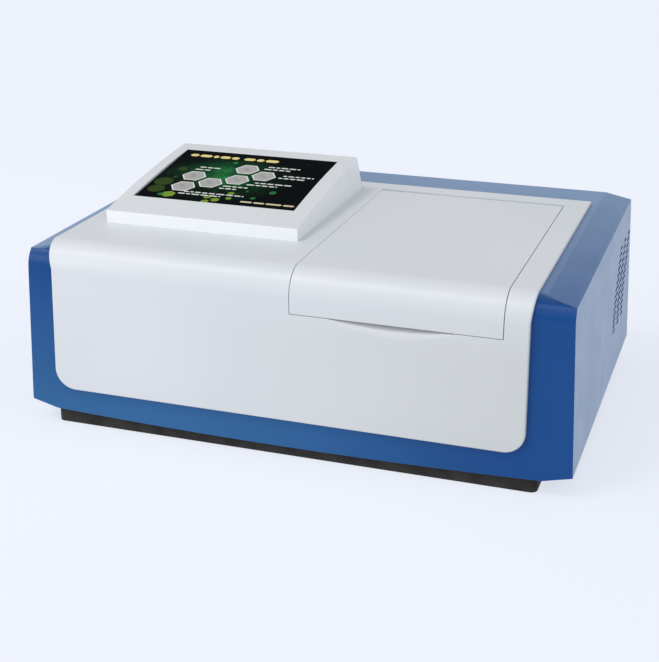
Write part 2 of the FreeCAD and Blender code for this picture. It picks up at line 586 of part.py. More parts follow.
def make_lid_cover():
    """Lid shell: flat top, rounded front edge, short front wall, side skirts and a hinge barrel."""
    body = body_of("lid_shell")
    across = ("lid_left", "lid_right")
    wrap_band("lid_band", body, across, (FACE, "fascia_top", "fascia_round"),
              (f"({FACE}+lid_wall)", "(fascia_top-lid_wall)", "(fascia_round-lid_wall)"),
              "lid_bottom", HINGE_Y, [(FACE, "lid_bottom")])
    pad(body, "lid_barrel", "YZ", across, circles=[(HINGE_Y, HINGE_Z, "hinge_radius")])
    skirt = rectangle("-skirt_front", HINGE_Y, "skirt_bottom", "fascia_top-lid_wall/2")
    for name, span in (("left", ("lid_left", "lid_left+skirt_wall")),
                       ("right", ("lid_right-skirt_wall", "lid_right"))):
        pad(body, f"lid_skirt_{name}", "YZ", span, [skirt])
    pocket(body, "lid_pin_hole", "YZ", across, circles=[(HINGE_Y, HINGE_Z, "pin_radius")])
    for number, left in enumerate(KNUCKLES):
        span = (f"{left}-knuckle_gap", f"{left}+knuckle_width+knuckle_gap")
        pocket(body, f"lid_knuckle_room_{number}", "YZ", span,
               circles=[(HINGE_Y, HINGE_Z, "knuckle_radius+knuckle_gap")])
        pocket(body, f"lid_arm_room_{number}", "YZ", span,
               [rectangle(f"{HINGE_Y}-hinge_radius-1", f"{HINGE_Y}+hinge_radius+1",
                          f"{HINGE_Z}-hinge_radius-1", HINGE_Z)])
    return as_node(body, "lid_cover")


def make_lid_pin():
    pin = rod("hinge_pin", "X", ("lid_left+pin_inset", HINGE_Y, HINGE_Z), "pin_radius",
              "lid_right-lid_left-2*pin_inset")
    return as_node(pin, "lid_hinge_pin")


def make_hinge_brackets():
    """Two knuckles inside the lid's barrel, on arms that stand on the chamber flange."""
    brackets = []
    front = f"{HINGE_Y}-knuckle_radius+bracket_inset"
    for number, left in enumerate(KNUCKLES):
        across = (left, f"{left}+knuckle_width")
        ring = rod(f"knuckle_{number}", "X", (left, HINGE_Y, HINGE_Z), "knuckle_radius", "knuckle_width")
        arm = block(f"bracket_arm_{number}", across, (front, f"{HINGE_Y}-knuckle_gap"),
                    ("flange_top", HINGE_Z))
        foot = block(f"bracket_foot_{number}", across, (front, f"{HINGE_Y}+hinge_radius"),
                     ("flange_top", "flange_top+bracket_thick"))
        bore = rod(f"bracket_bore_{number}", "X", (f"{left}-1", HINGE_Y, HINGE_Z),
                   "pin_radius+pin_slack", "knuckle_width+2")
        brackets.append(cut(f"bracket_{number}", join(f"bracket_solid_{number}", [ring, arm, foot]), [bore]))
    return as_node(group("brackets", brackets), "lid_hinge_brackets")


def make_lid_liner():
    """Black light trap under the lid: a plate on four posts, with a rim that enters the chamber."""
    plate = block("liner_plate", ("lid_left+skirt_wall+liner_gap", "lid_right-skirt_wall-liner_gap"),
                  ("-tub_front-liner_overlap", "tub_back+liner_overlap"),
                  ("liner_top-liner_thick", "liner_top"))
    out = ring_reach("0")
    hollow = ring_reach("trap_wall")
    low, high = "flange_top-trap_drop", "liner_top-liner_thick"
    rim = cut("liner_ring", block("liner_rim", out[0], out[1], (low, high)),
              [block("liner_hollow", hollow[0], hollow[1], (f"{low}-1", high))])
    posts = [rod(f"liner_post_{side}_{end}", "Z",
                 (f"(tub_left+tub_right)/2+{side}*post_x", f"beam_y+{end}*post_y", "liner_top"),
                 "post_radius", "fascia_top-lid_wall-liner_top") for side, end in CORNERS]
    return as_node(join("liner", [plate, rim] + posts), "lid_liner")


def ring_reach(inset):
    """X and Y spans of the light-trap rim, drawn in by an inset."""
    reach = f"(tub_wall+trap_inset+{inset})"
    return ((f"tub_left+{reach}", f"tub_right-{reach}"), (f"-tub_front+{reach}", f"tub_back-{reach}"))


def make_lid_seal():
    """Foam ring round the light-trap rim, just clear of the flange when the lid is shut."""
    low, high = "flange_top+seal_gap", "liner_top-liner_thick"
    x, y = ring_reach("0")
    wide_x, wide_y = ring_reach("-seal_width")
    inside = block("seal_inside", x, y, (f"{low}-1", f"{high}+1"))
    return as_node(cut("seal", block("seal_outside", wide_x, wide_y, (low, high)), [inside]), "lid_seal")


def make_lid_magnet():
    left = "lid_left+skirt_wall+magnet_inset"
    magnet = block("magnet", (left, f"{left}+magnet_wide"),
                   ("-magnet_y-magnet_long/2", "-magnet_y+magnet_long/2"),
                   ("liner_top", "liner_top+magnet_thick"))
    return as_node(magnet, "lid_magnet")


def make_lid_sensor():
    under = "flange_top-flange_thick"
    sensor = block("sensor", ("tub_left-sensor_gap-sensor_wide", "tub_left-sensor_gap"),
                   ("-magnet_y-sensor_long/2", "-magnet_y+sensor_long/2"), (f"{under}-sensor_tall", under))
    return as_node(sensor, "lid_sensor")


# ---------------------------------------------------------------- sample chamber and cell changer

ROD_XS = ("changer_x-rod_spread", "changer_x+rod_spread")
RACK_Y = ("beam_y-(cell_count-0.5)*cell_pitch", "beam_y+0.5*cell_pitch")
TUB_FLOOR = "(tub_bottom+tub_wall)"


def make_chamber_tub():
    """Black tub on four legs, with a flange under the lid opening, an apron in front and a low rim."""
    tub_y = ("-tub_front", "tub_back")
    flange_x = ("flange_left", "flange_right")
    shelf = ("flange_top-flange_thick", "flange_top")
    solids = [block("tub_outside", ("tub_left", "tub_right"), tub_y, ("tub_bottom", "flange_top")),
              block("tub_flange", flange_x, ("-flange_front", "flange_back"), shelf),
              block("tub_apron", flange_x, ("-flange_front", "-flange_front+flange_thick"),
                    ("apron_bottom", "flange_top"))]
    rim_z = ("flange_top", "rim_top")
    rim_y = ("-tub_front+rim_start", "flange_back")
    solids.append(block("rim_left", ("flange_left", "flange_left+flange_thick"), rim_y, rim_z))
    solids.append(block("rim_right", ("flange_right-flange_thick", "flange_right"), rim_y, rim_z))
    solids.append(block("rim_back", flange_x, ("flange_back-flange_thick", "flange_back"), rim_z))
    solids += [rod(f"tub_leg_{side}_{end}", "Z",
                   (f"(tub_left+tub_right)/2+{side}*((tub_right-tub_left)/2-leg_inset_x)",
                    f"(tub_back-tub_front)/2+{end}*((tub_back+tub_front)/2-leg_inset_y)", CHASSIS),
                   "post_radius", f"tub_bottom-{CHASSIS}") for side, end in CORNERS]
    inside = block("tub_inside", ("tub_left+tub_wall", "tub_right-tub_wall"),
                   ("-tub_front+tub_wall", "tub_back-tub_wall"), (TUB_FLOOR, "flange_top+1"))
    beam = rod("tub_beam", "X", ("tub_left-1", "beam_y", "beam_z"), "window_radius", "tub_right-tub_left+2")
    screw = rod("tub_screw_hole", "Y", ("changer_x", "tub_back-tub_wall-1", "rod_z"),
                "rod_radius+screw_clearance", "tub_wall+2")
    return as_node(cut("tub", join("tub_solid", solids), [inside, beam, screw]), "chamber_tub")


def make_chamber_windows():
    windows = [rod(f"window_{number}", "X", (x, "beam_y", "beam_z"), "window_radius", "window_thick")
               for number, x in enumerate(("tub_left", "tub_right-window_thick"))]
    return as_node(group("windows", windows), "chamber_windows")


def make_changer_rail():
    """Bracket on the chamber floor whose end plates hold the guide rods and the screw."""
    x = ("changer_x-slide_half-rail_margin", "changer_x+slide_half+rail_margin")
    plates = [block("rail_floor", x, ("-rail_front", "rail_back"), (TUB_FLOOR, f"{TUB_FLOOR}+rail_thick")),
              block("rail_end_front", x, ("-rail_front", "-rail_front+rail_plate"),
                    (TUB_FLOOR, "rod_z+2*rod_radius")),
              block("rail_end_back", x, ("rail_back-rail_plate", "rail_back"),
                    (TUB_FLOOR, "rod_z+2*rod_radius"))]
    long = "rail_front+rail_back+2"
    bores = [rod(f"rail_bore_{number}", "Y", (rod_x, "-rail_front-1", "rod_z"), "rod_radius", long)
             for number, rod_x in enumerate(ROD_XS)]
    bores.append(rod("rail_screw_bore", "Y", ("changer_x", "-rail_front-1", "rod_z"),
                     "rod_radius+bush_slack", long))
    return as_node(cut("rail", join("rail_solid", plates), bores), "changer_rail")


def make_changer_rods():
    rods = [rod(f"guide_rod_{number}", "Y", (x, "-rail_front", "rod_z"), "rod_radius",
                "rail_front+rail_back") for number, x in enumerate(ROD_XS)]
    return as_node(group("guide_rods", rods), "changer_guide_rods")


def make_changer_screw():
    shaft = rod("screw_shaft", "Y", ("changer_x", "-rail_front", "rod_z"), "rod_radius",
                "rail_front+motor_front+shaft_in_motor")
    collar = rod("screw_collar", "Y", ("changer_x", "rail_back+collar_gap", "rod_z"),
                 "rod_radius+collar_wall", "collar_long")
    return as_node(join("screw", [shaft, collar]), "changer_screw")


def make_changer_motor():
    half = "motor_size/2"
    case = block("motor_case", (f"changer_x-{half}", f"changer_x+{half}"),
                 ("motor_front", "motor_front+motor_long"), (f"rod_z-{half}", f"rod_z+{half}"))
    bore = rod("motor_bore", "Y", ("changer_x", "motor_front-1", "rod_z"), "rod_radius+bush_slack",
               "shaft_in_motor+2")
    return as_node(cut("motor", case, [bore]), "changer_motor")


def make_changer_carriage():
    """Sliding rack with square cell wells and beam apertures, on bushes for the guide rods."""
    base = block("slide_base", ("changer_x-slide_half", "changer_x+slide_half"), RACK_Y,
                 ("slide_bottom", "rack_bottom"))
    rack = block("slide_rack", ("changer_x-rack_width/2", "changer_x+rack_width/2"), RACK_Y,
                 ("rack_bottom", "rack_top"))
    tools = []
    for cell in range(int(size_of("cell_count"))):
        y = f"(beam_y-{cell}*cell_pitch)"
        tools.append(block(f"well_{cell}", ("changer_x-cell_size/2", "changer_x+cell_size/2"),
                           (f"{y}-cell_size/2", f"{y}+cell_size/2"), ("cell_floor", "rack_top+1")))
        tools.append(block(f"aperture_{cell}", ("changer_x-rack_width/2-1", "changer_x+rack_width/2+1"),
                           (f"{y}-aperture_width/2", f"{y}+aperture_width/2"),
                           ("beam_z-aperture_height/2", "beam_z+aperture_height/2")))
    long = f"({RACK_Y[1]})-({RACK_Y[0]})+2"
    for number, x in enumerate(ROD_XS):
        tools.append(rod(f"slide_bore_{number}", "Y", (x, f"{RACK_Y[0]}-1", "rod_z"),
                         "rod_radius+bush_slack", long))
    tools.append(rod("slide_screw_bore", "Y", ("changer_x", f"{RACK_Y[0]}-1", "rod_z"),
                     "rod_radius+screw_clearance", long))
    tools.append(rod("slide_nut_seat", "Y", ("changer_x", f"{RACK_Y[0]}-1", "rod_z"),
                     "nut_radius", "nut_long+1"))
    return as_node(cut("carriage", join("carriage_solid", [base, rack]), tools), "changer_carriage")


def make_changer_nut():
    nut = rod("nut_solid", "Y", ("changer_x", RACK_Y[0], "rod_z"), "nut_radius", "nut_long")
    bore = rod("nut_bore", "Y", ("changer_x", f"{RACK_Y[0]}-1", "rod_z"), "rod_radius+bush_slack",
               "nut_long+2")
    return as_node(cut("nut", nut, [bore]), "changer_nut")


# ---------------------------------------------------------------- optics

MONO_FLOOR_TOP = "(mono_floor+mono_wall)"
BACK_WHEEL = "wheel_y+wheel_thick"


def make_optics_bench():
    plate = block("bench_plate", ("-mono_left-bench_margin", "tub_left-bench_gap"),
                  ("-mono_front-bench_lip", "lamp_house_back"), ("bench_bottom", "bench_top"))
    legs = [rod(f"bench_leg_{side}_{end}", "Z",
                (f"-grating_x+{side}*bench_leg_x", f"{end}*bench_leg_y", CHASSIS), "bench_leg_radius",
                f"bench_bottom-{CHASSIS}") for side, end in CORNERS]
    return as_node(join("bench", [plate] + legs), "optics_bench")


def make_monochromator_box():
    """Cast box with a raised floor, a light port behind and one towards the chamber."""
    x = ("-mono_left", "-mono_right")
    y = ("-mono_front", "mono_back")
    inner_x = ("-mono_left+mono_wall", "-mono_right-mono_wall")
    inner_y = ("-mono_front+mono_wall", "mono_back-mono_wall")
    through = "mono_wall+2"
    tools = [block("mono_room", inner_x, inner_y, (MONO_FLOOR_TOP, "mono_top+1")),
             block("mono_under", inner_x, inner_y, ("bench_top-1", "mono_floor")),
             rod("mono_entry", "Y", ("-slit_x", "mono_back-mono_wall-1", "beam_z"), "beam_port", through),
             rod("mono_exit", "X", ("-mono_right-mono_wall-1", "beam_y", "beam_z"), "beam_port", through),
             rod("mono_shaft_hole", "Z", ("-grating_x", "-grating_y", "mono_floor-1"), "beam_port", through)]
    return as_node(cut("mono", block("mono_block", x, y, ("bench_top", "mono_top")), tools),
                   "monochromator_box")


def make_monochromator_cover():
    cover = block("mono_lid", ("-mono_left", "-mono_right"), ("-mono_front", "mono_back"),
                  ("mono_top", "mono_top+cover_thick"))
    return as_node(cover, "monochromator_cover")


def make_slit_plates():
    """Entrance slit inside the back wall and exit slit inside the right wall."""
    entry_y = ("mono_back-mono_wall-slit_thick", "mono_back-mono_wall")
    exit_x = ("-mono_right-mono_wall-slit_thick", "-mono_right-mono_wall")
    tall = ("beam_z-slit_half_tall", "beam_z+slit_half_tall")
    opening = ("beam_z-slit_half_open", "beam_z+slit_half_open")
    entry = cut("entry_slit", block("entry_plate", ("-slit_x-slit_half_wide", "-slit_x+slit_half_wide"),
                                    entry_y, tall),
                [block("entry_gap", ("-slit_x-slit_gap/2", "-slit_x+slit_gap/2"),
                       (f"{entry_y[0]}-1", f"{entry_y[1]}+1"), opening)])
    leave = cut("exit_slit", block("exit_plate", exit_x, ("beam_y-slit_half_wide", "beam_y+slit_half_wide"),
                                   tall),
                [block("exit_gap", (f"{exit_x[0]}-1", f"{exit_x[1]}+1"),
                       ("beam_y-slit_gap/2", "beam_y+slit_gap/2"), opening)])
    return as_node(group("slits", [entry, leave]), "slit_plates")


CONCAVE_TURN = 15
CONCAVE = {"collimating": ("-slit_x", CONCAVE_TURN), "focusing": ("-mirror_x", -CONCAVE_TURN)}


def make_concave_mirrors():
    """Two equal mirrors near the front wall: one collimates, one focuses on the exit slit."""
    mirrors = []
    for name, (x, degrees) in CONCAVE.items():
        disc = rod(name + "_disc", "Y", ("0", "0", "beam_z"), "mirror_radius", "mirror_thick")
        mirrors.append(turned(name + "_set", [disc], (x, "-mirror_y", "0"), degrees))
    return as_node(group("mirrors", mirrors), "concave_mirrors")


def make_mirror_mounts():
    mounts = []
    for name, (x, degrees) in CONCAVE.items():
        plate = block(name + "_mount", ("-mount_half", "mount_half"), ("-mount_thick", "0"),
                      (MONO_FLOOR_TOP, "mono_top-mount_gap"))
        mounts.append(turned(name + "_mount_set", [plate], (x, "-mirror_y", "0"), degrees))
    return as_node(group("mounts", mounts), "mirror_mounts")


GRATING_TURN = 20
TABLE_BOTTOM = f"({MONO_FLOOR_TOP}+table_gap)"


def make_grating_table():
    disc = rod("table_disc", "Z", ("0", "0", TABLE_BOTTOM), "table_radius", "table_thick")
    shaft = rod("table_shaft", "Z", ("0", "0", "bench_top+shaft_drop"), "shaft_radius",
                f"{TABLE_BOTTOM}-bench_top-shaft_drop")
    back = block("table_back", ("-grating_size/2", "grating_size/2"),
                 ("grating_lead", "grating_lead+grating_back"),
                 (f"{TABLE_BOTTOM}+table_thick", "beam_z+grating_size/2"))
    return as_node(turned("table_set", [disc, shaft, back], ("-grating_x", "-grating_y", "0"),
                          GRATING_TURN), "grating_table")


def make_grating():
    blank = block("grating_blank", ("-grating_size/2", "grating_size/2"),
                  ("grating_lead-grating_thick", "grating_lead"),
                  ("beam_z-grating_size/2", "beam_z+grating_size/2"))
    return as_node(turned("grating_set", [blank], ("-grating_x", "-grating_y", "0"), GRATING_TURN),
                   "diffraction_grating")


def stepper(name, x, y, low, high, half, bore_start):
    """Small motor case standing on the bench, with a bore for the upright shaft it turns."""
    case = block(name + "_case", (f"{x}-{half}", f"{x}+{half}"), (f"{y}-{half}", f"{y}+{half}"), (low, high))
    bore = rod(name + "_bore", "Z", (x, y, bore_start), "shaft_radius+bush_slack", f"{high}-({bore_start})+1")
    return cut(name, case, [bore])


def make_grating_motor():
    return as_node(stepper("grating_stepper", "-grating_x", "-grating_y", "bench_top",
                           "mono_floor-motor_clearance", "grating_motor_half", "bench_top+shaft_drop"),
                   "grating_motor")


FOLD_TURN = 45


def make_fold_mirror():
    glass = block("fold_glass", ("-fold_half", "fold_half"), ("-fold_thick/2", "fold_thick/2"),
                  ("beam_z-fold_below", "beam_z+fold_above"))
    foot = block("fold_foot", ("-fold_foot_half", "fold_foot_half"),
                 ("-fold_foot_deep/2", "fold_foot_deep/2"), (MONO_FLOOR_TOP, "beam_z-fold_below"))
    return as_node(turned("fold_set", [glass, foot], ("-fold_x", "beam_y", "0"), FOLD_TURN), "fold_mirror")


WHEEL_X = "(-slit_x+wheel_orbit)"


def filter_places():
    count = int(size_of("filter_count"))
    for number in range(count):
        angle = math.pi + number * 2 * math.pi / count
        yield number, (f"{WHEEL_X}+wheel_orbit*({math.cos(angle):.5f})",
                       f"beam_z+wheel_orbit*({math.sin(angle):.5f})")


def make_filter_wheel():
    disc = rod("wheel_disc", "Y", (WHEEL_X, "wheel_y", "beam_z"), "wheel_radius", "wheel_thick")
    shaft = rod("wheel_shaft", "Y", (WHEEL_X, BACK_WHEEL, "beam_z"), "shaft_radius", "wheel_shaft_long")
    holes = [rod(f"wheel_hole_{number}", "Y", (x, "wheel_y-1", z), "filter_radius", "wheel_thick+2")
             for number, (x, z) in filter_places()]
    return as_node(cut("wheel", join("wheel_solid", [disc, shaft]), holes), "filter_wheel")


def make_order_filters():
    """Filter discs in every hole but the one in the beam at rest."""
    discs = [rod(f"filter_{number}", "Y", (x, "wheel_y", z), "filter_radius", "wheel_thick")
             for number, (x, z) in filter_places() if number > 0]
    return as_node(group("filters", discs), "order_filters")


def make_filter_motor():
    half = "filter_motor_half"
    across = (f"{WHEEL_X}-{half}", f"{WHEEL_X}+{half}")
    front = f"{BACK_WHEEL}+filter_motor_gap"
    back = f"{front}+filter_motor_long"
    case = block("filter_case", across, (front, back), (f"beam_z-{half}", f"beam_z+{half}"))
    bore = rod("filter_bore", "Y", (WHEEL_X, f"{front}-1", "beam_z"), "shaft_radius+bush_slack",
               "wheel_shaft_long-filter_motor_gap+3")
    stand = block("filter_stand", across, (f"{back}-filter_stand", back), ("bench_top", f"beam_z-{half}"))
    return as_node(cut("filter_stepper", join("filter_solid", [case, stand]), [bore]), "filter_motor")


def make_source_mirror():
    turret = "beam_z-source_below-turret_tall"
    glass = block("source_glass", ("-source_half", "source_half"), ("-source_thick/2", "source_thick/2"),
                  ("beam_z-source_below", "beam_z+source_above"))
    base = rod("source_base", "Z", ("0", "0", turret), "turret_radius", "turret_tall")
    shaft = rod("source_shaft", "Z", ("0", "0", "bench_top+source_shaft_drop"), "shaft_radius",
                f"{turret}-bench_top-source_shaft_drop")
    return as_node(turned("source_set", [glass, base, shaft], ("-slit_x", "source_y", "0"), -FOLD_TURN),
                   "source_mirror")


def make_source_motor():
    return as_node(stepper("source_stepper", "-slit_x", "source_y", "bench_top", "beam_z-source_motor_drop",
                           "source_motor_half", "bench_top+source_shaft_drop"), "source_mirror_motor")


def make_lamp_bases():
    bases = [rod("deuterium_base", "Z", ("-lamp_x", "lamp_y", "bench_top"), "deuterium_base",
                 "deuterium_base_tall"),
             rod("tungsten_base", "Z", ("-lamp_x", "tungsten_y", "bench_top"), "tungsten_base",
                 "tungsten_base_tall")]
    return as_node(group("bases", bases), "lamp_sockets")


def bulb(name, x, y, base, radius, height):
    tube = rod(name + "_tube", "Z", (x, y, base), radius, height)
    dome = doc.addObject("Part::Sphere", name + "_dome")
    bind(dome, Radius=radius, Placement__Base__x=x, Placement__Base__y=y,
         Placement__Base__z=f"{base}+{height}")
    return join(name, [tube, dome])


def make_deuterium_lamp():
    return as_node(bulb("deuterium", "-lamp_x", "lamp_y", "bench_top+deuterium_base_tall",
                        "deuterium_radius", "deuterium_tall"), "deuterium_lamp")


def make_tungsten_lamp():
    return as_node(bulb("tungsten", "-lamp_x", "tungsten_y", "bench_top+tungsten_base_tall",
                        "tungsten_radius", "tungsten_tall"), "tungsten_lamp")


LAMP_SLOTS = 5


def make_lamp_housing():
    """Sheet-metal house round both lamps, with a port to the mirror for each and slots on top."""
    x = ("-lamp_house_left", "-lamp_house_right")
    y = ("lamp_house_front", "lamp_house_back")
    house = block("house_outside", x, y, ("bench_top", "lamp_house_top"))
    tools = [block("house_inside", (f"{x[0]}+lamp_wall", f"{x[1]}-lamp_wall"),
                   (f"{y[0]}+lamp_wall", f"{y[1]}-lamp_wall"), ("bench_top-1", "lamp_house_top-lamp_wall"))]
    tools += [rod(f"house_port_{number}", "X", (f"{x[0]}-1", lamp, "beam_z"), "lamp_port", "lamp_wall+2")
              for number, lamp in enumerate(("lamp_y", "tungsten_y"))]
    for slot in range(LAMP_SLOTS):
        slot_y = f"{y[0]}+lamp_slot_start+{slot}*lamp_slot_pitch"
        tools.append(block(f"house_slot_{slot}", (f"{x[0]}+lamp_slot_inset", f"{x[1]}-lamp_slot_inset"),
                           (slot_y, f"{slot_y}+lamp_slot_wide"),
                           ("lamp_house_top-lamp_wall-1", "lamp_house_top+1")))
    return as_node(cut("lamp_house", house, tools), "lamp_housing")


def make_detector_block():
    """Block behind the far chamber window with a foot on the chassis."""
    start = "tub_right+detector_foot_start"
    case = block("detector_case", ("tub_right", "tub_right+detector_long"),
                 ("beam_y-detector_half", "beam_y+detector_half"),
                 ("beam_z-detector_half", "beam_z+detector_half"))
    foot = block("detector_foot", (start, f"{start}+detector_foot_long"),
                 ("beam_y-detector_foot_half", "beam_y+detector_foot_half"),
                 (CHASSIS, "beam_z-detector_half"))
    bore = rod("detector_bore", "X", ("tub_right-1", "beam_y", "beam_z"), "diode_radius",
               "diode_depth+diode_thick+1")
    return as_node(cut("detector", join("detector_solid", [case, foot]), [bore]), "detector_block")


def make_photodiode():
    return as_node(rod("diode", "X", ("tub_right+diode_depth", "beam_y", "beam_z"), "diode_radius",
                       "diode_thick"), "photodiode")


def make_preamp_board():
    left = "tub_right+detector_long"
    board = block("preamp", (left, f"{left}+board_thick"), ("beam_y-preamp_half", "beam_y+preamp_half"),
                  ("beam_z-preamp_half", "beam_z+preamp_half"))
    return as_node(board, "preamp_board")


# ---------------------------------------------------------------- electronics and rear panel fittings

def make_main_board():
    board = block("board_plate", ("board_left", "board_right"), ("-board_front", "board_back"),
                  ("board_z", "board_z+board_thick"))
    studs = [rod(f"board_stud_{side}_{end}", "Z",
                 (f"(board_left+board_right)/2+{side}*((board_right-board_left)/2-stud_inset_x)",
                  f"(board_back-board_front)/2+{end}*((board_back+board_front)/2-stud_inset_y)", CHASSIS),
                 "stud_radius", f"board_z-{CHASSIS}") for side, end in CORNERS]
    return as_node(join("board", [board] + studs), "main_board")


# middle X, middle Y, width, depth and height of each
BOARD_PARTS = [(60, -90, 24, 24, 3), (110, -90, 18, 18, 3), (60, -40, 30, 12, 9), (110, -40, 14, 14, 12),
               (140, -70, 12, 40, 9), (60, 20, 34, 14, 10), (110, 20, 20, 20, 14), (148, 10, 12, 36, 9)]


def make_board_parts():
    """Chips, capacitors and connectors standing on the main board."""
    face = "board_z+board_thick"
    parts = [block(f"board_part_{number}", (f"{x}-{wide}/2", f"{x}+{wide}/2"),
                   (f"{y}-{deep}/2", f"{y}+{deep}/2"), (face, f"{face}+{tall}"))
             for number, (x, y, wide, deep, tall) in enumerate(BOARD_PARTS)]
    return as_node(group("board_part_group", parts), "board_components")


def make_power_supply():
    return as_node(block("supply", ("supply_left", "supply_right"), ("supply_front", "supply_back"),
                         (CHASSIS, f"{CHASSIS}+supply_tall")), "power_supply")


def fan_ring(name, radius, wide, y, thick):
    whole = rod(name + "_out", "Y", ("-fan_x", y, "fan_z"), radius, thick)
    return cut(name, whole, [rod(name + "_in", "Y", ("-fan_x", f"{y}-1", "fan_z"), f"{radius}-{wide}",
                                 f"{thick}+2")])


def spokes(name, y, thick, inner, outer, wide, count):
    step = 360 / count
    arms = []
    for number in range(count):
        arm = block(f"{name}_{number}", (inner, outer), ("0", thick), (f"-{wide}/2", f"{wide}/2"))
        arms.append(turned(f"{name}_turned_{number}", [arm], ("-fan_x", y, "fan_z"),
                           step * (number + 0.5), Vector(0, 1, 0)))
    return arms


FAN_ARMS = 4


def make_fan_frame():
    """Square frame with a round duct and a motor seat on four arms at the outlet side."""
    half = "fan_size/2"
    start = "panel_y-fan_deep"
    frame = cut("fan_square", block("fan_block", (f"-fan_x-{half}", f"-fan_x+{half}"), (start, "panel_y"),
                                    (f"fan_z-{half}", f"fan_z+{half}")),
                [rod("fan_duct", "Y", ("-fan_x", f"{start}-1", "fan_z"), "fan_bore", "fan_deep+2")])
    plate = "panel_y-fan_plate"
    seat = rod("fan_seat", "Y", ("-fan_x", plate, "fan_z"), "hub_radius", "fan_plate")
    pin = rod("fan_pin", "Y", ("-fan_x", f"{plate}-fan_pin_long", "fan_z"), "shaft_radius", "fan_pin_long")
    arms = spokes("fan_arm", plate, "fan_plate", "hub_radius-fan_arm_lap", "fan_bore+1", "fan_arm_wide",
                  FAN_ARMS)
    return as_node(join("fan", [frame, seat, pin] + arms), "fan_frame")


BLADES = 7
BLADE_PITCH = 50


def make_fan_rotor():
    start = "panel_y-fan_deep+rotor_gap"
    hub = rod("rotor_hub", "Y", ("-fan_x", start, "fan_z"), "hub_radius", "fan_deep-2*rotor_gap-fan_plate")
    blades = []
    for number in range(BLADES):
        blade = block(f"blade_{number}", ("0", "fan_bore-blade_gap"), ("-blade_thick/2", "blade_thick/2"),
                      ("-blade_chord/2", "blade_chord/2"))
        pitched = turned(f"blade_pitched_{number}", [blade], ("0", "0", "0"), BLADE_PITCH, Vector(1, 0, 0))
        blades.append(turned(f"blade_turned_{number}", [pitched],
                             ("-fan_x", f"{start}+blade_chord/2", "fan_z"),
                             360 / BLADES * number, Vector(0, 1, 0)))
    bore = rod("rotor_bore", "Y", ("-fan_x", f"{start}-1", "fan_z"), "shaft_radius+bush_slack", "fan_deep")
    return as_node(cut("rotor", join("rotor_solid", [hub] + blades), [bore]), "fan_rotor")


GUARD_RINGS = 4


def make_fan_guard():
    y = "panel_y+panel_thick"
    wire = "guard_wire"
    outer = "fan_bore+guard_margin"
    rings = [fan_ring(f"guard_ring_{number}", f"{outer}-{number}*guard_pitch", wire, y, wire)
             for number in range(GUARD_RINGS)]
    arms = spokes("guard_arm", y, wire, "guard_arm_inner", outer, "guard_arm_wide", FAN_ARMS)
    return as_node(join("guard", rings + arms), "fan_guard")


def socket_shell(name, x, half_wide, half_tall, start, end, inner_wide, inner_tall, depth):
    """Connector body through the rear panel, hollow towards the rear."""
    row = "rear_row_z"
    shell = block(name + "_body", (f"{x}-{half_wide}", f"{x}+{half_wide}"), (start, end),
                  (f"{row}-{half_tall}", f"{row}+{half_tall}"))
    hollow = block(name + "_hollow", (f"{x}-{inner_wide}", f"{x}+{inner_wide}"),
                   (f"{end}-{depth}", f"{end}+1"), (f"{row}-{inner_tall}", f"{row}+{inner_tall}"))
    return shell, hollow


def make_inlet_socket():
    face = "panel_y+panel_thick+inlet_rim"
    shell, hollow = socket_shell("inlet", "inlet_x", "inlet_wide", "inlet_tall", "panel_y-inlet_back", face,
                                 "inlet_room_wide", "inlet_room_tall", "inlet_depth")
    flange = block("inlet_flange", ("inlet_x-inlet_rim_wide", "inlet_x+inlet_rim_wide"),
                   ("panel_y+panel_thick", face), ("rear_row_z-inlet_rim_tall", "rear_row_z+inlet_rim_tall"))
    return as_node(cut("inlet_open", join("inlet_solid", [shell, flange]), [hollow]), "inlet_socket")


def make_inlet_pins():
    """Three flat contacts, the middle one higher than its neighbours."""
    places = (("inlet_x-contact_spread", "rear_row_z-contact_drop"), ("inlet_x", "rear_row_z+contact_raise"),
              ("inlet_x+contact_spread", "rear_row_z-contact_drop"))
    pins = [block(f"inlet_pin_{number}", (f"{x}-contact_thick/2", f"{x}+contact_thick/2"),
                  ("panel_y-contact_back", "panel_y-contact_front"),
                  (f"{z}-contact_tall/2", f"{z}+contact_tall/2"))
            for number, (x, z) in enumerate(places)]
    return as_node(group("inlet_pin_group", pins), "inlet_pins")


ROCKER_Y = "(panel_y-rocker_pivot)"


def make_switch_frame():
    face = "panel_y+panel_thick+switch_rim_thick"
    shell, hollow = socket_shell("switch", "switch_x", "(rocker_width/2+switch_shell)",
                                 "(rocker_height/2+switch_shell)", "panel_y-switch_back", face,
                                 "(rocker_width/2+rocker_side_gap)", "(rocker_height/2+rocker_end_gap)",
                                 "switch_depth")
    flange = block("switch_flange",
                   ("switch_x-rocker_width/2-switch_rim", "switch_x+rocker_width/2+switch_rim"),
                   ("panel_y+panel_thick", face),
                   ("rear_row_z-rocker_height/2-switch_rim", "rear_row_z+rocker_height/2+switch_rim"))
    reach = "(trunnion_long+rocker_side_gap)"
    pivot = rod("switch_pivot_bore", "X", (f"switch_x-rocker_width/2-{reach}", ROCKER_Y, "rear_row_z"),
                "trunnion_radius+bush_slack", f"rocker_width+2*{reach}")
    return as_node(cut("switch_open", join("switch_solid", [shell, flange]), [hollow, pivot]), "switch_frame")


ROCKER_TILT = 8


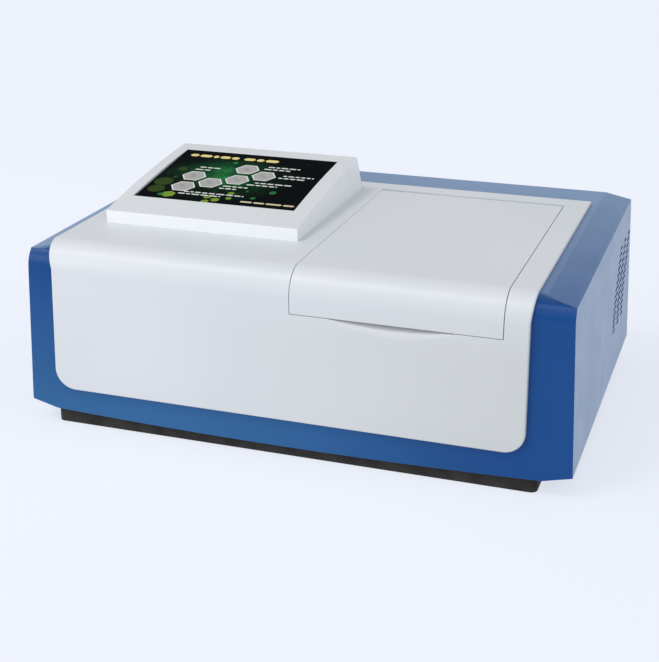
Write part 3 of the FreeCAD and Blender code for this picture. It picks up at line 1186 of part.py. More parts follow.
def make_switch_rocker():
    """Rocker with two sloping faces and trunnions, resting on its off side."""
    half = "(rocker_height/2-rocker_inset)"
    body = body_of("rocker_body")
    pad(body, "rocker_pad", "YZ", ("-rocker_width/2", "rocker_width/2"),
        [[("-rocker_back", f"-{half}+rocker_chamfer"), ("rocker_shoulder", f"-{half}"),
          ("rocker_horn", f"-{half}"), ("rocker_waist", "0"), ("rocker_horn", half),
          ("rocker_shoulder", half), ("-rocker_back", f"{half}-rocker_chamfer")]])
    trunnion = rod("rocker_trunnion", "X", ("-rocker_width/2-trunnion_long", "0", "0"), "trunnion_radius",
                   "rocker_width+2*trunnion_long")
    return as_node(turned("rocker_set", [join("rocker_solid", [body, trunnion])],
                          ("switch_x", ROCKER_Y, "rear_row_z"), -ROCKER_TILT, Vector(1, 0, 0)),
                   "switch_rocker")


def make_data_ports():
    face = "panel_y+panel_thick+port_face"
    pieces = []
    for name, x in (("usb", "port_x-usb_offset"), ("serial", "port_x+serial_offset")):
        shell, hollow = socket_shell(name, x, f"{name}_wide", f"{name}_tall", "panel_y-port_back", face,
                                     f"({name}_wide-port_wall)", f"({name}_tall-port_wall)", "port_depth")
        pieces.append(cut(name + "_open", shell, [hollow]))
    return as_node(group("ports", pieces), "data_ports")


# ---------------------------------------------------------------- console

CONSOLE_X = ("-console_left", "-console_right")


def on_slope(name, piece):
    """Piece laid parallel to the screen; its y runs up the slope and its z outwards from the glass."""
    return turned(name + "_set", [piece], ("0", "-glass_front", "glass_low"), size_of("glass_tilt"),
                  Vector(1, 0, 0))


def make_console_shell():
    """Wedge-shaped console with a gently arched top, open below, with the screen opening."""
    body = body_of("console_wedge")
    pad(body, "console_block", "YZ", CONSOLE_X,
        [[("-console_front", "fascia_top"), ("console_back", "fascia_top"),
          ("crest_y", "crest_z", "arch_radius"), ("-console_front", "lip_top")]])
    behind = size_of("crest_y-console_corner")
    fillet(body, "console_corners", "console_corner",
           lambda middle, run: middle.y > behind and abs(run.x) < 0.5)
    wall = "console_wall"
    pocket(body, "console_inside", "YZ", (f"{CONSOLE_X[0]}+{wall}", f"{CONSOLE_X[1]}-{wall}"),
           [[(f"-console_front+{wall}", "fascia_top-1"), (f"console_back-2*{wall}", "fascia_top-1"),
             (f"crest_y-{wall}", f"crest_z-{wall}", "arch_radius"),
             (f"-console_front+{wall}", f"lip_top-{wall}+lip_lift")]])
    opening = block("screen_opening", ("-glass_left-glass_gap", "-glass_right+glass_gap"),
                    ("-glass_gap", "glass_long+glass_gap"), ("-screen_cut_below", "screen_cut_above"))
    return as_node(cut("console", body, [on_slope("screen_opening", opening)]), "console_shell")


def make_touch_glass():
    glass = block("glass", ("-glass_left", "-glass_right"), ("0", "glass_long"), ("-glass_thick", "0"))
    return as_node(on_slope("glass", glass), "touch_glass")


def make_display_module():
    display = block("display", ("-glass_left+display_inset", "-glass_right-display_inset"),
                    ("display_inset", "glass_long-display_inset"),
                    ("-glass_thick-display_thick", "-glass_thick"))
    return as_node(on_slope("display", display), "display_module")


def make_display_board():
    board = block("display_plate", ("-display_board_left", "-display_board_right"),
                  ("-display_board_front", "display_board_back"),
                  ("fascia_top+display_board_gap", "fascia_top+display_board_gap+board_thick"))
    return as_node(board, "display_board")


# ---------------------------------------------------------------- build, check and write

def make_all():
    for make in (make_base_tray, make_rubber_feet, make_base_screws, make_chassis_plate, make_housing,
                 make_fascia, make_rear_panel, make_rear_screws, make_lid_cover, make_lid_pin,
                 make_hinge_brackets, make_lid_liner, make_lid_seal, make_lid_magnet, make_lid_sensor,
                 make_chamber_tub, make_chamber_windows, make_changer_rail, make_changer_rods,
                 make_changer_screw, make_changer_motor, make_changer_carriage, make_changer_nut,
                 make_optics_bench, make_monochromator_box, make_monochromator_cover, make_slit_plates,
                 make_concave_mirrors, make_mirror_mounts, make_grating_table, make_grating,
                 make_grating_motor, make_fold_mirror, make_filter_wheel, make_order_filters,
                 make_filter_motor, make_source_mirror, make_source_motor, make_lamp_bases,
                 make_deuterium_lamp, make_tungsten_lamp, make_lamp_housing, make_detector_block,
                 make_photodiode, make_preamp_board, make_main_board, make_board_parts,
                 make_power_supply, make_fan_frame, make_fan_rotor, make_fan_guard, make_inlet_socket,
                 make_inlet_pins, make_switch_frame, make_switch_rocker, make_data_ports,
                 make_console_shell, make_touch_glass, make_display_module, make_display_board):
        make()


def check_and_write():
    doc.recompute()
    for thing in doc.Objects:
        if {"Invalid", "Error"} & set(thing.State):
            raise RuntimeError(f"{thing.Name} ({thing.Label}): {thing.State}")
    os.makedirs("parts", exist_ok=True)
    for label, thing in nodes.items():
        shape = thing.Shape
        if shape.isNull() or not shape.isValid():
            raise RuntimeError(label + " has no valid shape")
        shape.exportStep(os.path.join("parts", label + ".step"))


make_all()
check_and_write()
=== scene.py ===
"""Looks of the spectrophotometer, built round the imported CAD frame. Metres, row frame."""
import json
import math
import random

import bmesh
import bpy
from mathutils import Matrix, Vector


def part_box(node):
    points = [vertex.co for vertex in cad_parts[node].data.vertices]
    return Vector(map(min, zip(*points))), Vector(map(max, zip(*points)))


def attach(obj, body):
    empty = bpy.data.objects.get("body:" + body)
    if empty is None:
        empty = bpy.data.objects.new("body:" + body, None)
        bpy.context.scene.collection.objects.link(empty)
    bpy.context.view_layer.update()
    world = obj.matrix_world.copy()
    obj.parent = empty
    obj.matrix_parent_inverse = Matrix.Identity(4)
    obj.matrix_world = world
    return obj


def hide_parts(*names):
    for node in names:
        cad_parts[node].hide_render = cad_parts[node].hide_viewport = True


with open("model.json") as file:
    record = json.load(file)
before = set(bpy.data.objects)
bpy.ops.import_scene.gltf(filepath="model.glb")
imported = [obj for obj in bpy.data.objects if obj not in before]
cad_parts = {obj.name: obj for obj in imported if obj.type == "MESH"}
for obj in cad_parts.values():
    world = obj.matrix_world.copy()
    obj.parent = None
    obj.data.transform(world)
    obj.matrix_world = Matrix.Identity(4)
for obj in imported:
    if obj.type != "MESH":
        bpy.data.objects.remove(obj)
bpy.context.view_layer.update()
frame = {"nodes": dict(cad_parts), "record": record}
MM = 0.001
BODY_OF = {node: body for body, members in frame["record"]["behaviour"]["bodies"].items() for node in members}
SLOT_OF = {part["node"]: part["material_slot"] for part in frame["record"]["subparts"]}


# ---------------------------------------------------------------- colours and node helpers

def linear(red, green, blue):
    """Scene-linear colour of an 8-bit display colour."""
    channels = []
    for value in (red, green, blue):
        share = value / 255
        channels.append(share / 12.92 if share <= 0.04045 else ((share + 0.055) / 1.055) ** 2.4)
    return (*channels, 1.0)


class Shader:
    """A node material round one Principled shader, with short calls for the usual detail."""

    def __init__(self, name, colour, roughness, metallic=0.0, **sockets):
        self.material = bpy.data.materials.new(name)
        self.material.use_nodes = True
        self.tree = self.material.node_tree
        self.bsdf = self.tree.nodes["Principled BSDF"]
        self.set(self.bsdf, "Base Color", colour)
        self.set(self.bsdf, "Roughness", roughness)
        self.set(self.bsdf, "Metallic", metallic)
        for socket, value in sockets.items():
            self.set(self.bsdf, socket.replace("_", " "), value)
        self.place = self.node("ShaderNodeTexCoord").outputs["Object"]

    def node(self, kind, **settings):
        made = self.tree.nodes.new(kind)
        for key, value in settings.items():
            setattr(made, key, value)
        return made

    def set(self, node, socket, value):
        node.inputs[socket].default_value = value

    def link(self, start, end):
        self.tree.links.new(start, end)

    def stretched(self, scale):
        """Object coordinates scaled per axis, for grain that runs one way."""
        mapping = self.node("ShaderNodeMapping")
        self.link(self.place, mapping.inputs["Vector"])
        self.set(mapping, "Scale", scale)
        return mapping.outputs["Vector"]

    def noise(self, scale, detail=3.0, rough=0.5, vector=None):
        texture = self.node("ShaderNodeTexNoise")
        self.link(vector or self.place, texture.inputs["Vector"])
        self.set(texture, "Scale", scale)
        self.set(texture, "Detail", detail)
        self.set(texture, "Roughness", rough)
        return texture.outputs["Fac"]

    def ranged(self, factor, low, high, start=0.3, end=0.7):
        """Factor stretched to a new range."""
        ranger = self.node("ShaderNodeMapRange")
        self.link(factor, ranger.inputs["Value"])
        self.set(ranger, "From Min", start)
        self.set(ranger, "From Max", end)
        self.set(ranger, "To Min", low)
        self.set(ranger, "To Max", high)
        return ranger.outputs["Result"]

    def along(self, axis, start, end):
        """0 to 1 along an object axis between two places."""
        parts = self.node("ShaderNodeSeparateXYZ")
        self.link(self.place, parts.inputs["Vector"])
        return self.ranged(parts.outputs[axis], 0.0, 1.0, start, end)

    def times(self, first, second):
        product = self.node("ShaderNodeMath", operation="MULTIPLY")
        self.link(first, product.inputs[0])
        self.link(second, product.inputs[1])
        return product.outputs["Value"]

    def mixed(self, factor, first, second):
        """Colour between two colour outputs."""
        mix = self.node("ShaderNodeMix", data_type="RGBA")
        self.link(factor, mix.inputs["Factor"])
        self.link(first, mix.inputs["A"])
        self.link(second, mix.inputs["B"])
        return mix.outputs["Result"]

    def ramp(self, factor, stops):
        colours = self.node("ShaderNodeValToRGB")
        self.link(factor, colours.inputs["Fac"])
        elements = colours.color_ramp.elements
        elements[0].position, elements[0].color = stops[0]
        elements[1].position, elements[1].color = stops[-1]
        for position, colour in stops[1:-1]:
            elements.new(position).color = colour
        return colours.outputs["Color"]

    def bump(self, height, strength, distance):
        """Bump from a height, added to any bump already there."""
        bumper = self.node("ShaderNodeBump")
        self.link(height, bumper.inputs["Height"])
        self.set(bumper, "Strength", strength)
        self.set(bumper, "Distance", distance)
        normal = self.bsdf.inputs["Normal"]
        if normal.is_linked:
            self.link(normal.links[0].from_socket, bumper.inputs["Normal"])
        self.link(bumper.outputs["Normal"], normal)


DRIFT_LOW, DRIFT_HIGH = 0.35, 0.65


def tones(shader, drift, colour, other):
    """Colour that a drift carries from one tone to another."""
    return shader.ramp(drift, [(DRIFT_LOW, colour), (DRIFT_HIGH, other)])


def vary(shader, colour, other, scale):
    """Slow drift of the base colour between two close tones."""
    shader.link(tones(shader, shader.noise(scale, 2.0), colour, other), shader.bsdf.inputs["Base Color"])


def roughen(shader, scale, low, high):
    """Patchy roughness, as handling and dust leave it."""
    shader.link(shader.ranged(shader.noise(scale, 4.0, 0.6), low, high), shader.bsdf.inputs["Roughness"])


# ---------------------------------------------------------------- materials

def paint_material():
    """Blue baked enamel with slight orange peel; painted light makes it paler low on the left, and a painted
    reflection of the pale room makes it paler where the eye grazes it.
    """
    shader = Shader("blue_enamel", linear(6, 64, 128), 0.34, Specular_IOR_Level=0.22)
    drift = shader.noise(6, 2.0)
    deep = tones(shader, drift, linear(4, 64, 126), linear(8, 70, 134))
    # Painted light: a lighter blue laid low on the left, where the light from the left front falls on the case.
    light = tones(shader, drift, linear(41, 95, 145), linear(45, 100, 150))
    # Painted reflection: a pale blue-grey that stands for the pale room reflected where the eye grazes the
    # paint.
    pale = tones(shader, drift, linear(110, 139, 173), linear(119, 146, 180))
    painted_light_low_left = shader.times(shader.along("X", 0.20, -0.05), shader.along("Z", 0.15, 0.02))
    grazing = shader.node("ShaderNodeLayerWeight")
    shader.set(grazing, "Blend", 0.5)
    # Blue with painted light low on the left.
    front = shader.mixed(painted_light_low_left, deep, light)
    # Painted sheen: the share of painted reflection, which grows as the eye grazes the surface.
    painted_sheen_share = shader.ranged(grazing.outputs["Facing"], 0.0, 1.0, 0.59, 0.73)
    shader.link(shader.mixed(painted_sheen_share, front, pale), shader.bsdf.inputs["Base Color"])
    roughen(shader, 25, 0.26, 0.36)
    shader.bump(shader.noise(420, 2.0), 0.12, 0.0004)
    shader.bump(shader.noise(2600, 1.0), 0.08, 0.0001)
    return shader.material


def moulded_skin(shader, roughness, grain):
    """Patchy gloss and fine spark-eroded grain, as a mould leaves them."""
    roughen(shader, 30, roughness - 0.05, roughness + 0.06)
    shader.bump(shader.noise(1800, 3.0, 0.6), grain, 0.00015)
    shader.bump(shader.noise(260, 2.0), 0.05, 0.0003)


def moulded_plastic(name, colour, other, roughness, grain=0.10):
    shader = Shader(name, colour, roughness, Specular_IOR_Level=0.45)
    vary(shader, colour, other, 5)
    moulded_skin(shader, roughness, grain)
    return shader.material


def white_moulding_material():
    """White moulding, with painted shade that makes it slightly greyer low on the right."""
    roughness = 0.38
    shader = Shader("white_moulding", linear(212, 215, 218), roughness, Specular_IOR_Level=0.45)
    drift = shader.noise(5, 2.0)
    fair = tones(shader, drift, linear(212, 215, 218), linear(216, 218, 221))
    # Painted shade: a greyer white laid low on the right, away from the light.
    grey = tones(shader, drift, linear(201, 203, 202), linear(204, 206, 205))
    painted_shade_low_right = shader.times(shader.along("X", -0.10, 0.20), shader.along("Z", 0.165, 0.12))
    shader.link(shader.mixed(painted_shade_low_right, fair, grey), shader.bsdf.inputs["Base Color"])
    moulded_skin(shader, roughness, 0.10)
    return shader.material


def black_plinth_material():
    """Rough black texture coat of the plinth."""
    shader = Shader("black_texture_coat", linear(46, 44, 43), 0.85, Specular_IOR_Level=0.2)
    vary(shader, linear(40, 39, 38), linear(54, 52, 50), 60)
    roughen(shader, 90, 0.7, 0.9)
    shader.bump(shader.noise(700, 4.0, 0.7), 0.5, 0.0006)
    return shader.material


def rubber_material(name="foot_rubber", shade=30):
    shader = Shader(name, linear(shade, shade, shade), 0.85)
    vary(shader, linear(shade - 4, shade - 4, shade - 4), linear(shade + 8, shade + 8, shade + 7), 80)
    roughen(shader, 200, 0.78, 0.92)
    shader.bump(shader.noise(1500, 3.0), 0.3, 0.0003)
    return shader.material


def machined_metal(name, colour, other, roughness, grain=(900, 30, 900)):
    """Metal with fine grain along one axis and a few dull patches."""
    shader = Shader(name, colour, roughness, metallic=1.0)
    vary(shader, colour, other, 18)
    streak = shader.noise(1.0, 3.0, 0.6, shader.stretched(grain))
    shader.link(shader.ranged(streak, roughness - 0.08, roughness + 0.12), shader.bsdf.inputs["Roughness"])
    shader.bump(streak, 0.12, 0.0001)
    return shader.material


def cast_material():
    """Black-anodised casting with a sandy skin."""
    shader = Shader("black_casting", linear(52, 54, 57), 0.6, metallic=0.35)
    vary(shader, linear(46, 48, 51), linear(60, 62, 66), 30)
    roughen(shader, 120, 0.5, 0.72)
    shader.bump(shader.noise(900, 4.0, 0.7), 0.35, 0.0004)
    return shader.material


def powder_coat_material():
    shader = Shader("grey_powder_coat", linear(176, 180, 184), 0.5)
    vary(shader, linear(171, 175, 179), linear(182, 186, 190), 12)
    roughen(shader, 60, 0.45, 0.6)
    shader.bump(shader.noise(1100, 3.0, 0.6), 0.25, 0.0003)
    return shader.material


def circuit_material():
    """Green solder resist with fine tracks and pads."""
    shader = Shader("solder_resist", linear(20, 92, 52), 0.35)
    tracks = shader.node("ShaderNodeTexBrick", offset=0.37)
    shader.link(shader.place, tracks.inputs["Vector"])
    shader.set(tracks, "Scale", 110.0)
    shader.set(tracks, "Mortar Size", 0.012)
    shader.set(tracks, "Color1", linear(20, 92, 52))
    shader.set(tracks, "Color2", linear(24, 102, 58))
    shader.set(tracks, "Mortar", linear(60, 140, 84))
    shader.link(tracks.outputs["Color"], shader.bsdf.inputs["Base Color"])
    roughen(shader, 50, 0.3, 0.45)
    shader.bump(tracks.outputs["Fac"], 0.2, 0.0001)
    return shader.material


def mirror_material():
    shader = Shader("front_surface_mirror", linear(235, 236, 238), 0.03, metallic=1.0)
    roughen(shader, 40, 0.02, 0.07)
    return shader.material


def clear_glass_material():
    shader = Shader("clear_glass", linear(238, 244, 246), 0.04, Transmission_Weight=0.9, IOR=1.46)
    roughen(shader, 60, 0.02, 0.08)
    return shader.material


def dark_glass_material():
    """Black-backed touch glass."""
    shader = Shader("touch_glass_black", linear(10, 12, 12), 0.08, Coat_Weight=0.6, Coat_Roughness=0.04)
    roughen(shader, 14, 0.06, 0.14)
    return shader.material


MATERIALS = {
    "blue_paint": paint_material(),
    "white_plastic": white_moulding_material(),
    "grey_plastic": moulded_plastic("console_moulding", linear(213, 215, 216), linear(217, 218, 219), 0.40),
    "black_plastic": moulded_plastic("black_moulding", linear(32, 33, 35), linear(38, 39, 41), 0.55, 0.2),
    "rubber": rubber_material(),
    "aluminium": machined_metal("milled_aluminium", linear(188, 190, 193), linear(198, 200, 203), 0.35),
    "cast_metal": cast_material(),
    "steel": machined_metal("bright_steel", linear(170, 172, 175), linear(184, 186, 188), 0.28),
    "brass": machined_metal("turned_brass", linear(196, 160, 88), linear(206, 172, 100), 0.25),
    "grey_sheet": powder_coat_material(),
    "clear_glass": clear_glass_material(),
    "dark_glass": dark_glass_material(),
    "mirror": mirror_material(),
    "circuit_board": circuit_material(),
    "foam": rubber_material("closed_cell_foam", 44),
}
PLINTH = black_plinth_material()
# Painted light: a brighter copy of the console moulding for its front lip and right cheek.
PAINTED_LIGHT_LIP = moulded_plastic("console_lip_painted_light", linear(246, 248, 250), linear(249, 250, 252), 0.36)


# ---------------------------------------------------------------- meshes

def new_object(name, mesh, material, body, smooth=True):
    """Link a mesh as a piece that rides on a body and takes the given material or materials."""
    piece = bpy.data.objects.new(name, mesh)
    bpy.context.scene.collection.objects.link(piece)
    for each in (material if isinstance(material, (list, tuple)) else [material]):
        mesh.materials.append(each)
    for polygon in mesh.polygons:
        polygon.use_smooth = smooth
    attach(piece, body)
    return piece


MERGE_WITHIN = 0.000002
FLAT_WITHIN = math.radians(0.4)
ROUND_PAST = math.radians(9)
ROUND_SEGMENTS = 3
SHARP_PAST = math.radians(35)
FLAT_FAVOUR = 80


def soften_edges(mesh, width_at):
    """Round the sharp edges of a mesh; width_at gives each edge's width from its middle and direction."""
    build = bmesh.new()
    build.from_mesh(mesh)
    bmesh.ops.remove_doubles(build, verts=build.verts, dist=MERGE_WITHIN)
    bmesh.ops.dissolve_limit(build, angle_limit=FLAT_WITHIN, verts=build.verts, edges=build.edges)
    groups = {}
    for edge in build.edges:
        if len(edge.link_faces) != 2 or edge.calc_face_angle(0) < ROUND_PAST:
            continue
        ends = [vertex.co for vertex in edge.verts]
        run = (ends[1] - ends[0]).normalized()
        width = width_at((ends[0] + ends[1]) / 2, run)
        if width > 0:
            groups.setdefault(round(width, 6), []).append(edge)
    for width in sorted(groups, reverse=True):
        edges = [edge for edge in groups[width] if edge.is_valid]
        bmesh.ops.bevel(build, geom=edges, offset=width, segments=ROUND_SEGMENTS, profile=0.5,
                        affect="EDGES", clamp_overlap=True)
    build.to_mesh(mesh)
    build.free()


def shade_by_angle(piece):
    """Smooth shading that keeps the flats flat: weighted normals, sharp past an angle."""
    piece.data.set_sharp_from_angle(angle=SHARP_PAST)
    modifier = piece.modifiers.new("weighted", "WEIGHTED_NORMAL")
    modifier.keep_sharp = True
    modifier.weight = FLAT_FAVOUR


def softened(node, width_at, material):
    """Piece with the node's own shape and rounded edges, which stands for the node."""
    mesh = frame["nodes"][node].data.copy()
    mesh.materials.clear()
    soften_edges(mesh, width_at)
    piece = new_object("soft_" + node, mesh, material, BODY_OF[node])
    shade_by_angle(piece)
    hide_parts(node)
    return piece


# ---------------------------------------------------------------- shells with rounded edges

TOL = 0.2 * MM
CASE_LOW, CASE_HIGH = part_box("housing")
SKIN_LOW, SKIN_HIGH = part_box("fascia")
LID_LOW, LID_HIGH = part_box("lid_cover")
DESK_LOW, DESK_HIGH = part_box("console_shell")
GLASS_LOW, GLASS_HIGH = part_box("touch_glass")
BEND = 24 * MM
BEND_SLACK = 0.6 * MM
BEND_CENTRE = Vector((0, SKIN_LOW.y + BEND, SKIN_HIGH.z - BEND))
CREASE = 56 * MM
SKIN_LEAN = 1.1 * MM
SEAM = 1.5 * MM
SCOOP_DEEP = 20 * MM
CASE_WALL = 2.2 * MM
CASE_SPLAY = 6 * MM
CHAMFER = 30 * MM
CASE_BEND = 22 * MM
VENTS_Y = (40 * MM, 170 * MM)
VENTS_Z = (55 * MM, 145 * MM)
NEAR_FACE = 3 * MM
GLASS_GAP = 0.8 * MM
FACES_ALONG = 0.7
RUNS_ALONG = 0.99
FASCIA_ROUND = 1.6 * MM
SEAM_ROUND = 0.5 * MM
LID_ROUND = 0.6 * MM
CASE_ROUND = 2.0 * MM
CASE_FRONT_ROUND = 1.2 * MM
CONSOLE_ROUND = 1.8 * MM
SCREEN_OPENING_ROUND = 0.35 * MM
PLINTH_ROUND = 1.0 * MM


def on_outer_skin(point):
    """Whether a point lies on the outer surface that the fascia and the lid share."""
    if point.y < BEND_CENTRE.y and point.z > BEND_CENTRE.z:
        return math.hypot(point.y - BEND_CENTRE.y, point.z - BEND_CENTRE.z) > BEND - BEND_SLACK
    lean = SKIN_LEAN if point.z < CREASE else TOL
    return point.y < SKIN_LOW.y + lean or point.z > SKIN_HIGH.z - TOL


def fascia_width(middle, run):
    """Broad rounding on the outer rim, fine rounding round the lid opening and the scoop."""
    if not on_outer_skin(middle):
        return 0
    beside_lid = LID_LOW.x - SEAM < middle.x < LID_HIGH.x + SEAM
    if beside_lid and middle.z > LID_LOW.z - SCOOP_DEEP and middle.y < LID_HIGH.y + SEAM:
        return SEAM_ROUND
    return FASCIA_ROUND


def lid_width(middle, run):
    return LID_ROUND if on_outer_skin(middle) else 0


def housing_width(middle, run):
    """Rounded outer corners of the case; the vents and the hidden inside stay sharp."""
    vents = VENTS_Y[0] < middle.y < VENTS_Y[1] and VENTS_Z[0] < middle.z < VENTS_Z[1]
    if vents or middle.y > CASE_HIGH.y - CASE_WALL:
        return 0
    outer = CASE_HIGH.x - CASE_SPLAY - CASE_WALL
    corner = abs(middle.x) > outer
    if abs(run.y) > RUNS_ALONG:
        crease = middle.z > CASE_HIGH.z - TOL and abs(middle.x) > outer - CHAMFER
        return CASE_ROUND if corner or crease else 0
    in_front = middle.y < CASE_LOW.y + TOL
    bend = middle.z > CASE_HIGH.z - CHAMFER and middle.y < CASE_LOW.y + CASE_BEND and corner
    return CASE_FRONT_ROUND if in_front or bend else 0


def console_width(middle, run):
    """Rounded outer edges, and a fine edge round the screen opening."""
    if middle.z < DESK_LOW.z + TOL:
        return 0
    in_opening = (GLASS_LOW.x - GLASS_GAP < middle.x < GLASS_HIGH.x + GLASS_GAP
                  and GLASS_LOW.y - GLASS_GAP < middle.y < GLASS_HIGH.y + GLASS_GAP)
    outside = (abs(middle.x - DESK_LOW.x) < TOL or abs(middle.x - DESK_HIGH.x) < TOL
               or middle.y < DESK_LOW.y + TOL or middle.y > DESK_HIGH.y - NEAR_FACE)
    if in_opening:
        return SCREEN_OPENING_ROUND
    return CONSOLE_ROUND if outside else 0


def plinth_width(middle, run):
    return PLINTH_ROUND


def make_console():
    """Console whose front lip and right cheek take a brighter copy of its moulding, painted light that makes
    them a little brighter than its top.
    """
    console = softened("console_shell", console_width, [MATERIALS["grey_plastic"], PAINTED_LIGHT_LIP])
    # Faces at the front lip and the right cheek take the brighter copy, which is painted light.
    for polygon in console.data.polygons:
        in_front = polygon.center.y < DESK_LOW.y + NEAR_FACE and polygon.normal.y < -FACES_ALONG
        on_right = polygon.center.x > DESK_HIGH.x - NEAR_FACE and polygon.normal.x > FACES_ALONG
        polygon.material_index = 1 if in_front or on_right else 0


def make_shells():
    softened("housing", housing_width, MATERIALS["blue_paint"])
    softened("fascia", fascia_width, MATERIALS["white_plastic"])
    softened("lid_cover", lid_width, MATERIALS["white_plastic"])
    make_console()
    softened("base_tray", plinth_width, PLINTH)


# ---------------------------------------------------------------- screen

GLASS_THICK = 2 * MM
TILT_ROUNDS = 8


class Screen:
    """Flat frame on the touch glass: u runs right and v runs up the slope, in metres."""

    def __init__(self):
        size = GLASS_HIGH - GLASS_LOW
        tilt = math.atan2(size.z, size.y)
        for _ in range(TILT_ROUNDS):
            rise = size.z - GLASS_THICK * math.cos(tilt)
            tilt = math.atan2(rise, size.y - GLASS_THICK * math.sin(tilt))
        self.width = size.x
        self.height = math.hypot(size.y - GLASS_THICK * math.sin(tilt), size.z - GLASS_THICK * math.cos(tilt))
        self.right = Vector((1, 0, 0))
        self.up = Vector((0, math.cos(tilt), math.sin(tilt)))
        self.out = self.right.cross(self.up)
        self.origin = Vector((GLASS_LOW.x, GLASS_LOW.y, GLASS_HIGH.z - self.height * math.sin(tilt)))

    def point(self, u, v, lift):
        return self.origin + self.right * u + self.up * v + self.out * lift


SCREEN = Screen()


def glowing(name, colour, strength):
    """Printed light of the screen under the glass."""
    roughness = 0.2
    shader = Shader(name, linear(12, 12, 12), roughness, Specular_IOR_Level=0.002, Emission_Strength=strength)
    shader.set(shader.bsdf, "Emission Color", colour)
    roughen(shader, 30, roughness * 0.8, roughness * 1.3)
    return shader.material


CORNER_SHARE = 0.35


class Sheet:
    """Thin flat shapes laid on the screen at one height, gathered in one mesh."""

    def __init__(self, name, lift, material):
        self.name, self.lift, self.material = name, lift, material
        self.build = bmesh.new()

    def polygon(self, points):
        corners = [self.build.verts.new(SCREEN.point(u, v, self.lift)) for u, v in points]
        self.build.faces.new(corners)

    def disc(self, u, v, radius, sides, turn=0.0):
        self.polygon([(u + radius * math.cos(turn + 2 * math.pi * step / sides),
                       v + radius * math.sin(turn + 2 * math.pi * step / sides)) for step in range(sides)])

    def bar(self, u, v, long, tall):
        """Short rounded bar that starts at u and is centred on v."""
        cut = tall * CORNER_SHARE
        half = tall / 2
        self.polygon([(u + cut, v - half), (u + long - cut, v - half), (u + long, v - half + cut),
                      (u + long, v + half - cut), (u + long - cut, v + half), (u + cut, v + half),
                      (u, v + half - cut), (u, v - half + cut)])

    def line(self, start, end, wide):
        run = Vector((end[0] - start[0], end[1] - start[1], 0)).normalized()
        side = Vector((-run.y, run.x, 0)) * wide / 2
        self.polygon([(start[0] + side.x, start[1] + side.y), (start[0] - side.x, start[1] - side.y),
                      (end[0] - side.x, end[1] - side.y), (end[0] + side.x, end[1] + side.y)])

    def finish(self):
        mesh = bpy.data.meshes.new(self.name)
        self.build.normal_update()
        for face in self.build.faces:
            if face.normal.dot(SCREEN.out) < 0:
                face.normal_flip()
        self.build.to_mesh(mesh)
        self.build.free()
        return new_object(self.name, mesh, self.material, BODY_OF["touch_glass"], smooth=False)


def on_glass(u, v):
    """Screen place from shares of its width and height, v downwards."""
    return u * SCREEN.width, (1 - v) * SCREEN.height


BUTTON_RADIUS = 12.714 * MM
BUTTON_FACE_SHARE = 0.90
HEXAGON = 6
SIGN_STROKES = 3
SIGN_START = -5 * MM
SIGN_STEP_RIGHT = 1.4 * MM
SIGN_STEP_DOWN = 2.6 * MM
SIGN_LONG = 6.5
SIGN_TALL = 0.8 * MM
BUTTONS = [(0.222, 0.517), (0.222, 0.730), (0.362, 0.622), (0.503, 0.307), (0.640, 0.411), (0.503, 0.522)]
PICTURE_LIFT = 0.020 * MM
OLIVE_LIFT = 0.040 * MM
TRACERY_LIFT = 0.045 * MM
SPOT_LIFT = 0.050 * MM
PRINT_LIFT = 0.070 * MM
FACE_LIFT = 0.090 * MM
SIGN_LIFT = 0.110 * MM
GLOW_PLACE = (0.40, 0.50)
GLOW_WIDE = 75 * MM
GLOW_TALL = 60 * MM


def screen_background_material():
    """Near-black picture with a soft, cloudy green glow left of the middle."""
    shader = Shader("screen_picture", linear(6, 8, 8), 0.1, Specular_IOR_Level=0.002, Emission_Strength=1.0)
    mapping = shader.node("ShaderNodeMapping", vector_type="POINT")
    shader.link(shader.place, mapping.inputs["Vector"])
    centre = SCREEN.point(*on_glass(*GLOW_PLACE), 0)
    shader.set(mapping, "Location", (-centre.x / GLOW_WIDE, -centre.y / GLOW_TALL, 0))
    shader.set(mapping, "Scale", (1 / GLOW_WIDE, 1 / GLOW_TALL, 0))
    glow = shader.node("ShaderNodeTexGradient", gradient_type="SPHERICAL")
    shader.link(mapping.outputs["Vector"], glow.inputs["Vector"])
    clouds = shader.ranged(shader.noise(28, 3.0, 0.6), 0.35, 1.5)
    picture = shader.ramp(shader.times(glow.outputs["Fac"], clouds),
                          [(0.0, linear(4, 6, 9)), (0.2, linear(7, 22, 14)),
                           (0.55, linear(16, 66, 36)), (1.0, linear(38, 112, 60))])
    shader.link(picture, shader.bsdf.inputs["Emission Color"])
    roughen(shader, 14, 0.06, 0.14)
    return shader.material


def make_picture():
    """Dark sheet that fills the glass but for a thin margin."""
    picture = Sheet("screen_picture", PICTURE_LIFT, screen_background_material())
    inset = 0.4 * MM
    right, top = SCREEN.width - inset, SCREEN.height - inset
    picture.polygon([(inset, inset), (right, inset), (right, top), (inset, top)])
    picture.finish()


OLIVE_SPOTS = [(0.075, 0.67, 9.6), (0.078, 0.815, 8.6), (0.105, 0.40, 4.6), (0.115, 0.565, 2.6)]
LEAF_SPOTS = [(0.185, 0.895, 7.2), (0.430, 0.882, 4.2), (0.490, 0.921, 4.6), (0.440, 0.967, 4.2),
              (0.548, 0.783, 3.6), (0.560, 0.875, 3.2)]
GREEN_SPOTS = [(0.390, 0.197, 3.0), (0.395, 0.30, 1.6), (0.384, 0.39, 2.2), (0.785, 0.704, 3.6),
               (0.700, 0.835, 2.6), (0.140, 0.908, 3.2), (0.63, 0.72, 1.6)]


def make_spots(kind, lift, colour, sides, turn, places):
    """Soft spots of one colour; places gives each spot's share across, share down and radius in mm."""
    spots = Sheet("screen_spots_" + kind, lift, glowing("spot_" + kind, colour, 0.8))
    for u, v, radius in places:
        spots.disc(*on_glass(u, v), radius * MM, sides, turn)
    spots.finish()


